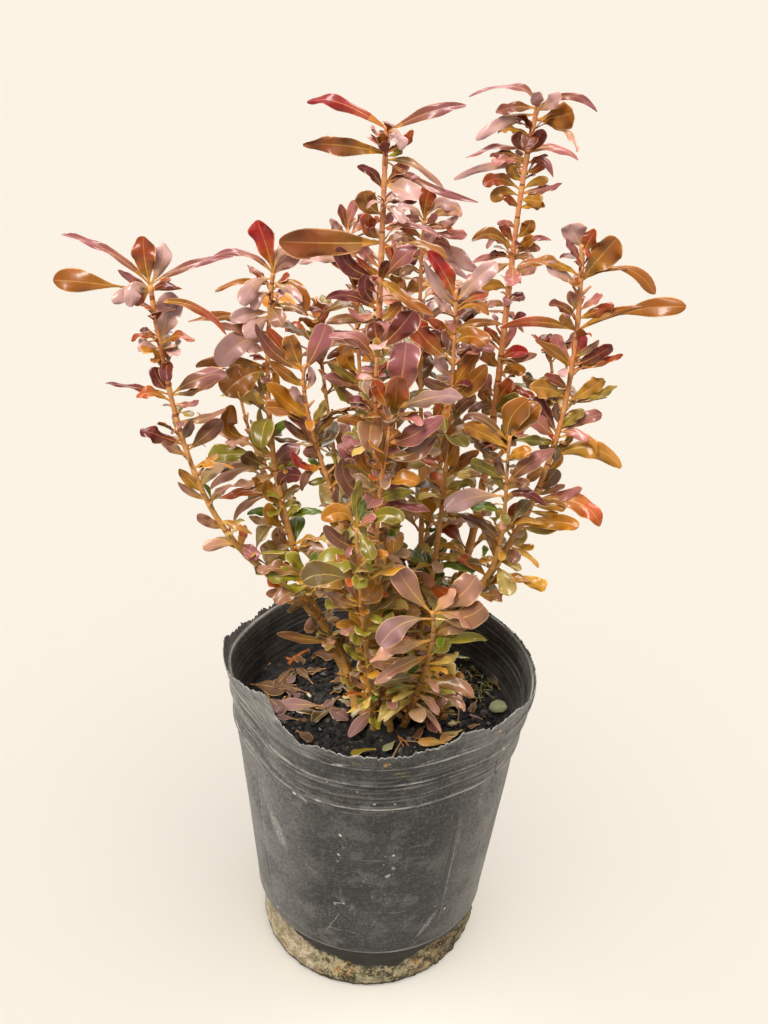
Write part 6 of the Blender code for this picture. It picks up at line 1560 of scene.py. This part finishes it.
def make_pot():
    columns = 540
    azimuths = np.linspace(-180, 180, columns, endpoint=False)
    rule = np.random.default_rng(5)
    rim = np.interp(azimuths, [a for a, _ in RIM_LINE], [h for _, h in RIM_LINE])
    # The torn edge is a fine saw with a few deeper nicks.
    saw = rule.normal(0, 1, columns)
    coarse = np.interp(np.arange(columns), np.arange(0, columns + 5, 5), rule.normal(0, 1, columns // 5 + 1))
    nicks = np.zeros(columns)
    for _ in range(64):
        nicks[int(rule.integers(0, columns))] -= rule.uniform(0.5, 1.5)
    rim = rim + 0.36 * saw + 0.42 * coarse + nicks
    wander = np.interp(np.arange(columns), np.arange(0, columns + 9, 9), rule.normal(0, 0.35, columns // 9 + 1))
    wander[-6:] = wander[-6:] * np.linspace(1, 0, 6) + wander[0] * np.linspace(0, 1, 6)
    waver = rib_waver(azimuths)

    def ribbed(height, share=1.0):
        swell = np.zeros(columns)
        for centre, depth, wide in RIBS:
            off = height - centre - waver
            swell = swell + share * depth * np.exp(-((off / wide) ** 2))
        return swell

    crust_line = np.interp(azimuths, [a for a, _ in MUD_LINE], [h for _, h in MUD_LINE])
    band = [0.0, 0.3, 0.8] + list(np.arange(1.6, 22.0, 0.85)) + [22.6, 23.1, 23.8, 24.1, 26]
    shaft = list(np.arange(30, 121, 5.0)) + list(np.arange(122.5, 129.5, 0.42)) + [131, 132, 133, 134.5] + list(np.arange(135.6, 142.6, 0.33)) + [143.6, 144.4, 145, 145.6, 146.6, 147.8] + list(np.arange(148.8, 151.4, 0.33))
    crest = [0.0, 0.2, 0.4, 0.6, 0.8, 0.93, 1.0]
    rings = []
    for height in band + shaft:
        if height <= 22.6:
            radius = FOOT_RADIUS + (BAND_RADIUS - FOOT_RADIUS) * (height - 1.6) / 21.0
            if height < 1.6:
                radius = FOOT_RADIUS - 1.2 * (1 - height / 1.6) ** 2
        elif height < 24.1:
            radius = BAND_RADIUS + (LEDGE_RADIUS - BAND_RADIUS) * (height - 22.6) / 1.5
        else:
            radius = wall_radius(height)
        radius = radius + (ribbed(height) if height > 110 else 0.0)
        if height < 22.6:
            # Crumbly mud dried onto the foot, thicker and rougher to the right.
            around, tall = np.radians(azimuths) * 54, np.full(columns, height)
            lumps = 0.5 * value_noise(around, tall, 4.0) + 0.45 * value_noise(around + 7, tall, 1.9) + 0.25 * value_noise(around, tall + 5, 0.95)
            cover = smooth_step(1.2, -1.2, height + 2.2 * value_noise(around, tall, 6.0) - crust_line) * float(smooth_step(-0.5, 1.6, height))
            radius = radius + cover * (0.1 + lumps * (0.62 + 0.5 * smooth_step(-90, -50, azimuths) * smooth_step(10, -20, azimuths)))
        rings.append((np.full(columns, radius) + out_of_round(azimuths, height), np.full(columns, height)))
    last = 151.4
    for share in crest:
        height = last + (np.maximum(rim, last + 0.05 * (1 + share)) - last) * share
        rings.append((wall_radius(height) + out_of_round(azimuths, height) + ribbed(height) * (1 - share) + wander * share, height))
    outer_count = len(rings)
    top_radius, top_height = rings[-1]
    rings.append((top_radius - 0.28, top_height + 0.05))
    inner_heights = list(np.arange(151.2, 148.4, -0.4)) + [146.5, 145, 143.5] + list(np.arange(142.4, 135.8, -0.4)) + [134, 132.6, 131.4, 129.5] + list(np.arange(128, 122.6, -0.5)) + [119.0, 105.0, 80.0, 40.0, FLOOR]
    for share in (0.9, 0.6, 0.3, 0.0):
        height = last + (np.maximum(rim, last + 0.05) - last) * share
        rings.append((wall_radius(height) + out_of_round(azimuths, height) + wander * share - (0.6 - 0.15 * share), height))
    for height in inner_heights:
        radius = min(wall_radius(height), BAND_RADIUS + wall_radius(height) - LEDGE_RADIUS) - WALL + 0.6 * float(smooth_step(124.0, 150.0, height)) - (2.5 if height < 50 else 0.0)
        radius = radius + (ribbed(height, 0.9) if height > 120 else 0.0)
        rings.append((np.full(columns, radius) + out_of_round(azimuths, height), np.full(columns, height)))
    ca, sa = np.cos(np.radians(azimuths)), np.sin(np.radians(azimuths))
    points = np.concatenate([np.stack([ca * r, sa * r, h], -1) for r, h in rings])
    # The seam of the mould, a shallow ridge down the front right and the back left.
    az = np.degrees(np.arctan2(points[:, 1], points[:, 0]))
    outside = np.arange(len(points)) < outer_count * columns
    ridge = 0.0
    for seam in (-53.4, -145.0):
        ridge = ridge + 0.32 * np.exp(-(((az - seam) / 0.7) ** 2)) * outside * (points[:, 2] > 26) * (points[:, 2] < 123)
    grown = 1 + ridge / np.maximum(1, np.hypot(points[:, 0], points[:, 1]))
    points[:, 0] *= grown
    points[:, 1] *= grown
    faces, mats = [], []
    for i in range(len(rings) - 1):
        level = (band + shaft)[min(i, len(band + shaft) - 1)]
        mat = POT_FOOT if level < FOOT_TOP else POT_WALL if level < BAND_BOTTOM else POT_BAND
        mat = mat if i < outer_count - 2 else POT_TORN if i <= outer_count else POT_INSIDE
        for j in range(columns):
            k = (j + 1) % columns
            faces.append((i * columns + j, i * columns + k, (i + 1) * columns + k, (i + 1) * columns + j))
            mats.append(mat)
    count = len(points)
    points = np.concatenate([points, [[0, 0, 0.0], [0, 0, FLOOR]]])
    for j in range(columns):
        k = (j + 1) % columns
        faces.append((count, k, j))
        faces.append((count + 1, (len(rings) - 1) * columns + j, (len(rings) - 1) * columns + k))
        mats += [POT_FOOT, POT_INSIDE]
    heap = Heap()
    heap.add(points, faces, mats)
    obj = heap.build("pot_shell", sharp=50)
    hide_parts("pot")
    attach(obj, "root")
    print("pot faces", len(faces), "rings", len(rings))


GRIDS = {}


def value_noise(x, y, size):
    """Smooth random heights on a plane, with features of one size and the same grid each time."""
    if size not in GRIDS:
        GRIDS[size] = np.random.default_rng(int(size * 10)).uniform(-1, 1, (64, 64))
    grid = GRIDS[size]
    u, v = x / size + 31, y / size + 31
    i, j = np.floor(u).astype(int), np.floor(v).astype(int)
    a, b = u - i, v - j
    a, b = a * a * (3 - 2 * a), b * b * (3 - 2 * b)
    i, j = i % 63, j % 63
    return (grid[i, j] * (1 - a) + grid[i + 1, j] * a) * (1 - b) + (grid[i, j + 1] * (1 - a) + grid[i + 1, j + 1] * a) * b


def make_soil():
    rule = np.random.default_rng(11)
    columns, rows = 240, 76
    azimuths = np.linspace(-180, 180, columns, endpoint=False)
    ca, sa = np.cos(np.radians(azimuths)), np.sin(np.radians(azimuths))
    edge = BAND_RADIUS + wall_radius(SOIL_TOP) - LEDGE_RADIUS - WALL - 0.15 + out_of_round(azimuths, SOIL_TOP)
    rings = []
    for i in range(rows):
        share = (i + 1) / rows
        radius = edge * share
        x, y = ca * radius, sa * radius
        height = SOIL_TOP - 0.8 + 1.5 * value_noise(x, y, 15.0) + 1.2 * value_noise(x, y, 5.0) + 0.8 * value_noise(x, y, 2.2)
        height += 1.4 * smooth_step(0.82, 1.0, share) * np.sin(np.radians(azimuths) * 3 + 0.6) + 1.0 * math.exp(-((share * 60 / 16) ** 2))
        rings.append(np.stack([x, y, height], -1))
    rings.append(np.stack([ca * edge, sa * edge, np.full(columns, SOIL_TOP - 8.0)], -1))
    points = np.concatenate(rings + [[[0, 0, SOIL_TOP + 0.5]], [[0, 0, SOIL_TOP - 8.0]]])
    faces = []
    for i in range(len(rings) - 1):
        for j in range(columns):
            k = (j + 1) % columns
            faces.append((i * columns + j, (i + 1) * columns + j, (i + 1) * columns + k, i * columns + k))
    top, base = len(points) - 2, len(points) - 1
    for j in range(columns):
        k = (j + 1) % columns
        faces.append((top, j, k))
        faces.append((base, (len(rings) - 1) * columns + k, (len(rings) - 1) * columns + j))
    heap = Heap()
    heap.add(points, faces, SOIL)
    obj = heap.build("soil_surface")
    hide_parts("soil")
    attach(obj, "root")
    return float(edge.min())


def make_crumbs(limit):
    """Loose lumps of earth and bark lying on the soil, from dust to clods half a centimetre across."""
    rule = np.random.default_rng(23)
    heap = Heap()
    corner = np.array(
        [(0, 0, 1), (0.894, 0, 0.447), (0.276, 0.851, 0.447), (-0.724, 0.526, 0.447), (-0.724, -0.526, 0.447), (0.276, -0.851, 0.447),
         (0.724, 0.526, -0.447), (-0.276, 0.851, -0.447), (-0.894, 0, -0.447), (-0.276, -0.851, -0.447), (0.724, -0.526, -0.447), (0, 0, -1)]
    )
    faces = [(0, 1, 2), (0, 2, 3), (0, 3, 4), (0, 4, 5), (0, 5, 1), (1, 6, 2), (2, 6, 7), (2, 7, 3), (3, 7, 8), (3, 8, 4),
             (4, 8, 9), (4, 9, 5), (5, 9, 10), (5, 10, 1), (1, 10, 6), (6, 11, 7), (7, 11, 8), (8, 11, 9), (9, 11, 10), (10, 11, 6)]
    shades = ((20, 18, 16), (30, 27, 24), (46, 41, 37), (70, 63, 56), (96, 86, 74), (104, 68, 36), (34, 30, 26))
    earths = [plain_material("crumb_" + str(i), c, 0.82 if i < 6 else 0.42, 0.45) for i, c in enumerate(shades)]
    chances = (0.32, 0.25, 0.17, 0.06, 0.025, 0.035, 0.14)
    for count, low, high in ((2300, 0.4, 1.3), (620, 1.2, 2.2), (150, 2.2, 3.4)):
        for _ in range(count):
            out = limit * math.sqrt(rule.uniform(0, 1)) * 0.985
            turn = rule.uniform(0, 2 * math.pi)
            size = rule.uniform(low, high)
            if out + size > limit:
                continue
            x, y = out * math.cos(turn), out * math.sin(turn)
            body = corner * (1 + rule.uniform(-0.32, 0.32, (12, 1))) * size * rule.uniform(0.5, 1.0, 3) * (1.0, 1.0, 0.75)
            spin, tip = rule.uniform(0, 2 * math.pi), rule.uniform(-0.5, 0.5)
            c, n = math.cos(spin), math.sin(spin)
            body = body @ np.array([[1, 0, 0], [0, math.cos(tip), -math.sin(tip)], [0, math.sin(tip), math.cos(tip)]]) @ np.array([[c, n, 0], [-n, c, 0], [0, 0, 1]])
            spot = [np.array(x), np.array(y)]
            base = SOIL_TOP - 0.5 + 1.5 * float(value_noise(*spot, 15.0)) + 1.2 * float(value_noise(*spot, 5.0)) + 0.1 * size
            heap.add(body + (x, y, base), faces, earths[int(rule.choice(len(earths), p=chances))])
    obj = heap.build("soil_crumbs", smooth=False)
    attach(obj, "root")


def seen_on(x, y, level):
    """The point that shows at a place of the front view and lies at a height."""
    ray = VIEW_AHEAD + VIEW_RIGHT * ((x - 384) / VIEW_SCALE) + VIEW_UP * ((512 - y) / VIEW_SCALE)
    return VIEW_FROM + ray * ((level - VIEW_FROM[2]) / ray[2])


# Leaves lying on the soil: base and tip as seen in the front view, width there, tint, and how far the tip is off the soil in mm.
FALLEN = (
    (322, 706, 281, 704, 15, "faded_rose", 1.5), (381, 704, 349, 737, 12, "faded_rose", 2.0), (364, 703, 341, 701, 6, "sage", 1.0),
    (376, 749, 351, 754, 10, "olive", 1.0), (449, 744, 418, 742, 11, "faded_ochre", 1.5), (438, 733, 458, 734, 9, "khaki", 2.0),
    (250, 684, 286, 690, 18, "faded_brown", 1.0), (266, 697, 284, 714, 14, "faded_mauve", 0.5), (299, 720, 275, 717, 6, "faded_mauve", 0.5),
    (296, 730, 312, 741, 10, "faded_brown", 0.5), (272, 692, 290, 670, 8, "faded_brown", 1.5), (283, 676, 276, 688, 9, "faded_brown", 1.5),
    (313, 684, 297, 668, 7, "faded_brown", 3.0), (330, 682, 352, 676, 11, "faded_brown", 2.0), (352, 684, 366, 700, 9, "faded_brown", 1.5),
    (420, 716, 437, 733, 9, "mauve_sheen", 3.0), (408, 700, 424, 712, 10, "mauve_sheen", 3.0), (462, 730, 440, 742, 9, "faded_ochre", 0.6),
    (480, 724, 468, 727, 5, "faded_brown", 0.3), (461, 722, 448, 724, 8, "olive", 1.5), (372, 716, 360, 722, 7, "faded_brown", 1.0),
    (330, 694, 342, 687, 9, "umber", 1.0), (262, 668, 270, 660, 8, "bark_orange", 0.5), (242, 700, 256, 692, 9, "faded_brown", 0.5),
    (345, 714, 359, 709, 6, "straw", 1.0), (425, 726, 414, 738, 8, "faded_brown", 1.0), (395, 741, 384, 751, 10, "sage", 1.0),
    (500, 690, 489, 676, 8, "umber", 0.5), (477, 700, 470, 712, 7, "faded_brown", 0.5), (292, 656, 304, 664, 8, "faded_brown", 0.5),
)
# Sticks on the soil: two ends as seen in the front view, how high each is above the soil, thickness in mm, and colour.
STICKS = (
    (385, 724, 3.0, 416, 693, 8.0, 2.8, "pale"), (352, 716, 2.0, 366, 704, 4.0, 2.2, "pale"), (449, 668, 1.5, 457, 655, 3.0, 2.6, "pale"), (341, 664, 1.0, 339, 650, 3.0, 1.4, "pale"),
    (302, 672, 1.0, 321, 671, 1.5, 0.7, "dry"), (391, 761, 0.8, 402, 741, 2.0, 0.9, "dry"), (399, 737, 2.5, 409, 746, 0.8, 0.8, "rust"),
    (404, 747, 0.8, 398, 735, 2.0, 0.7, "rust"), (431, 745, 0.8, 405, 741, 1.0, 0.7, "dry"), (322, 652, 2.0, 352, 646, 2.5, 0.8, "rust"),
    (346, 701, 0.8, 332, 699, 1.0, 1.0, "pale"), (308, 694, 0.8, 311, 697, 0.8, 1.6, "pale"), (459, 700, 1.0, 458, 722, 1.0, 0.7, "dry"),
    (289, 664, 0.8, 309, 650, 1.6, 2.2, "rust"), (284, 658, 0.8, 300, 662, 0.8, 1.8, "rust"), (258, 672, 0.8, 266, 668, 0.8, 1.4, "dry"),
)


def make_litter():
    """Fallen leaves, sticks, threads of moss and one small round disc on the soil."""
    rule = random.Random(31)
    heap = Heap()
    for x0, y0, x1, y1, wide, tint, off in FALLEN:
        base, tip = seen_on(x0, y0, SOIL_TOP + 1.4), seen_on(x1, y1, SOIL_TOP + 1.2 + off)
        s = np.linspace(0, 1, FINE)[:, None]
        arch = np.sin(np.pi * s) * math.dist(base, tip) * rule.uniform(0.02, 0.10) * np.array([0, 0, 1.0])
        up = unit(np.array([rule.uniform(-0.3, 0.3), rule.uniform(-0.45, 0.05), 1.0]))
        depth = float((base - VIEW_FROM) @ VIEW_AHEAD)
        add_leaf(heap, rule, base + (tip - base) * s + arch, np.tile(up, (FINE, 1)), wide * depth / VIEW_SCALE, tint, petiole=0.08,
                 fold=rule.uniform(-0.1, 0.2), wave=rule.uniform(0.1, 0.3), twist=rule.uniform(-0.4, 0.4))
    for _ in range(46):
        out, way = rule.uniform(16, 58), rule.uniform(0, math.pi)
        x, y, turn = out * math.cos(way), out * math.sin(way), rule.uniform(0, 2 * math.pi)
        length = rule.uniform(6, 17)
        if math.hypot(x + length * math.cos(turn), y + length * math.sin(turn)) > 60:
            turn += math.pi
        line, up = arched(np.array([x, y, SOIL_TOP + 1.5]), turn, rule.uniform(0.0, 0.3), length, rule.uniform(0.1, 0.5))
        add_leaf(heap, rule, line, up, length * rule.uniform(0.3, 0.5), rule.choice(("faded_brown", "faded_mauve", "faded_brown", "umber", "faded_mauve", "umber")),
                 petiole=0.1, fold=rule.uniform(-0.1, 0.2), wave=rule.uniform(0.1, 0.3))
    # Threads of moss on the right.
    for _ in range(90):
        x, y = rule.uniform(446, 494), rule.uniform(652, 702)
        start = seen_on(x, y, SOIL_TOP + 0.6)
        line, up = arched(start, rule.uniform(0, 2 * math.pi), rule.uniform(0.1, 1.2), rule.uniform(2.5, 6.5), rule.uniform(0.3, 1.6), rule.uniform(-1, 1))
        if math.hypot(line[-1][0], line[-1][1]) < 61:
            add_leaf(heap, rule, line, up, rule.uniform(0.6, 1.0), rule.choice(("green", "olive", "sage", "umber")), petiole=0.05, wave=0.0)
    obj = heap.build("fallen_leaves", sharp=60)
    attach(obj, "root")
    sticks = Heap()
    colours = {"pale": plain_material("stick_pale", (206, 196, 160), 0.6), "dry": plain_material("stick_dry", (150, 118, 74), 0.7), "rust": plain_material("stick_rust", (166, 92, 40), 0.7, 0.4)}
    for x0, y0, z0, x1, y1, z1, thick, shade in STICKS:
        start, end = seen_on(x0, y0, SOIL_TOP + z0), seen_on(x1, y1, SOIL_TOP + z1)
        s = np.linspace(0, 1, 9)[:, None]
        bend = np.array([rule.uniform(-1, 1), rule.uniform(-1, 1), rule.uniform(-0.3, 0.8)]) * 0.05 * math.dist(start, end)
        add_twig(sticks, start + (end - start) * s + np.sin(np.pi * s) * bend, thick / 2, thick / 2 * 0.8, colours[shade])
    # The disc: a round flat seed case, a little domed, leaning on the soil.
    centre = seen_on(498, 706, SOIL_TOP + 2.2)
    facing = unit(np.array([-0.15, -0.35, 1.0]))
    across = unit(np.cross(facing, (0.0, 1.0, 0.0)))
    along = np.cross(facing, across)
    rings, points, faces = 24, [centre + facing * 0.7], []
    for share, rise in ((0.35, 0.66), (0.7, 0.45), (0.93, 0.1), (1.0, -0.35), (0.9, -0.8)):
        for k in range(rings):
            turn = 2 * math.pi * k / rings
            wide = share * (1 + 0.05 * math.sin(3 * turn) + 0.03 * math.sin(7 * turn))
            points.append(centre + across * 4.3 * wide * math.cos(turn) + along * 3.6 * wide * math.sin(turn) + facing * rise)
    for k in range(rings):
        m = (k + 1) % rings
        faces.append((0, 1 + k, 1 + m))
        for i in range(4):
            a, b = 1 + i * rings, 1 + (i + 1) * rings
            faces.append((a + k, b + k, b + m, a + m))
    faces.append(tuple(1 + 4 * rings + k for k in range(rings - 1, -1, -1)))
    sticks.add(points, faces, plain_material("seed_disc", (150, 152, 112), 0.8, 0.3))
    obj = sticks.build("fallen_sticks", sharp=50)
    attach(obj, "root")


# ------------------------------------------------------------------ stage
def make_stage():
    bpy.ops.mesh.primitive_plane_add(size=12.0, location=(0, 0, -0.0002))
    floor = bpy.context.object
    floor.name = "floor"
    mat, tree, shader = new_material("floor_cream")
    shader.inputs["Base Color"].default_value = (*srgb(249, 241, 228), 1.0)
    shader.inputs["Roughness"].default_value = 0.9
    shader.inputs["Specular IOR Level"].default_value = 0.1
    floor.data.materials.append(mat)
    floor.visible_diffuse = False
    world = bpy.data.worlds.new("studio")
    bpy.context.scene.world = world
    world.use_nodes = True
    # A soft overhead sky for the plant and the pot, over a dimmer ground, and a plain cream backdrop for the view.
    tree = world.node_tree
    sky = tree.nodes["Background"]
    sky.inputs["Color"].default_value = (1.0, 0.985, 0.965, 1.0)
    split = tree.nodes.new("ShaderNodeSeparateXYZ")
    tree.links.new(tree.nodes.new("ShaderNodeTexCoord").outputs["Generated"], split.inputs[0])
    above, below = tree.nodes.new("ShaderNodeMapRange"), tree.nodes.new("ShaderNodeMapRange")
    for node, values in ((above, (0.0, 0.9, 0.26, 0.58)), (below, (0.0, -0.7, 0.26, 0.40))):
        for socket, value in zip(("From Min", "From Max", "To Min", "To Max"), values):
            node.inputs[socket].default_value = value
        tree.links.new(split.outputs["Z"], node.inputs["Value"])
    tree.links.new(maths(tree, "MAXIMUM", above.outputs["Result"], below.outputs["Result"]), sky.inputs["Strength"])
    backdrop = tree.nodes.new("ShaderNodeBackground")
    backdrop.inputs["Color"].default_value = (*srgb(247, 238, 226), 1.0)
    either = tree.nodes.new("ShaderNodeMixShader")
    tree.links.new(tree.nodes.new("ShaderNodeLightPath").outputs["Is Camera Ray"], either.inputs[0])
    tree.links.new(sky.outputs[0], either.inputs[1])
    tree.links.new(backdrop.outputs[0], either.inputs[2])
    tree.links.new(either.outputs[0], tree.nodes["World Output"].inputs["Surface"])
    # The floor takes its own even light, so that the lamps on the plant throw no shadow across it.
    beside, ground = bpy.data.collections.new("beside_floor"), bpy.data.collections.new("floor_only")
    beside.objects.link(floor)
    beside.collection_objects[0].light_linking.link_state = "EXCLUDE"
    ground.objects.link(floor)
    for name, way, spread, power, colour in (
        ("key", (0.45, 0.62, -1.00), 24.0, 3.1, (1.0, 0.965, 0.91)),
        ("fill", (-0.75, 0.35, -0.80), 60.0, 0.55, (1.0, 0.97, 0.94)),
        ("rear", (-0.10, -0.75, -0.90), 54.0, 2.6, (1.0, 0.95, 0.915)),
        ("floor_light", (0.0, 0.0, -1.0), 60.0, 1.69, (1.0, 1.0, 1.0)),
    ):
        data = bpy.data.lights.new(name, "SUN")
        data.angle = math.radians(spread)
        data.energy = power
        data.color = colour
        lamp = bpy.data.objects.new(name, data)
        bpy.context.scene.collection.objects.link(lamp)
        lamp.rotation_euler = Vector(way).to_track_quat("-Z", "Y").to_euler()
        lamp.light_linking.receiver_collection = ground if name == "floor_light" else beside
        if name == "floor_light":
            lamp.light_linking.blocker_collection = ground
    # A small lamp low in front, for the floor alone, takes up the dimness at the foot.
    data = bpy.data.lights.new("foot_lamp", "POINT")
    data.energy = 0.10
    data.shadow_soft_size = 0.0
    pool = bpy.data.objects.new("foot_lamp", data)
    bpy.context.scene.collection.objects.link(pool)
    pool.location = (0.016, -0.088, 0.090)
    pool.light_linking.receiver_collection = ground
    pool.light_linking.blocker_collection = ground


def make_camera():
    right = (0.99778605, 0.03973657, 0.05332921)
    up = (-0.06615513, 0.51080918, 0.85714496)
    ahead = (-0.00681895, 0.85877528, -0.51230705)
    data = bpy.data.cameras.new("camera")
    data.sensor_fit = "AUTO"
    data.sensor_width = 36.0
    data.lens = 36.0 * 1300.0 / 1024.0
    data.clip_start, data.clip_end = 0.02, 50.0
    cam = bpy.data.objects.new("camera", data)
    bpy.context.scene.collection.objects.link(cam)
    cam.matrix_world = Matrix((
        (right[0], up[0], -ahead[0], 0.0),
        (right[1], up[1], -ahead[1], -0.47632),
        (right[2], up[2], -ahead[2], 0.51772),
        (0, 0, 0, 1),
    ))
    bpy.context.scene.camera = cam


make_foliage()
for order, limb in enumerate(LIMBS.values()):
    make_limb(limb, 50 + order)
make_pot()
soil_limit = make_soil()
make_crumbs(soil_limit)
make_litter()
make_stage()
make_camera()
bpy.context.scene.view_settings.view_transform = "Standard"
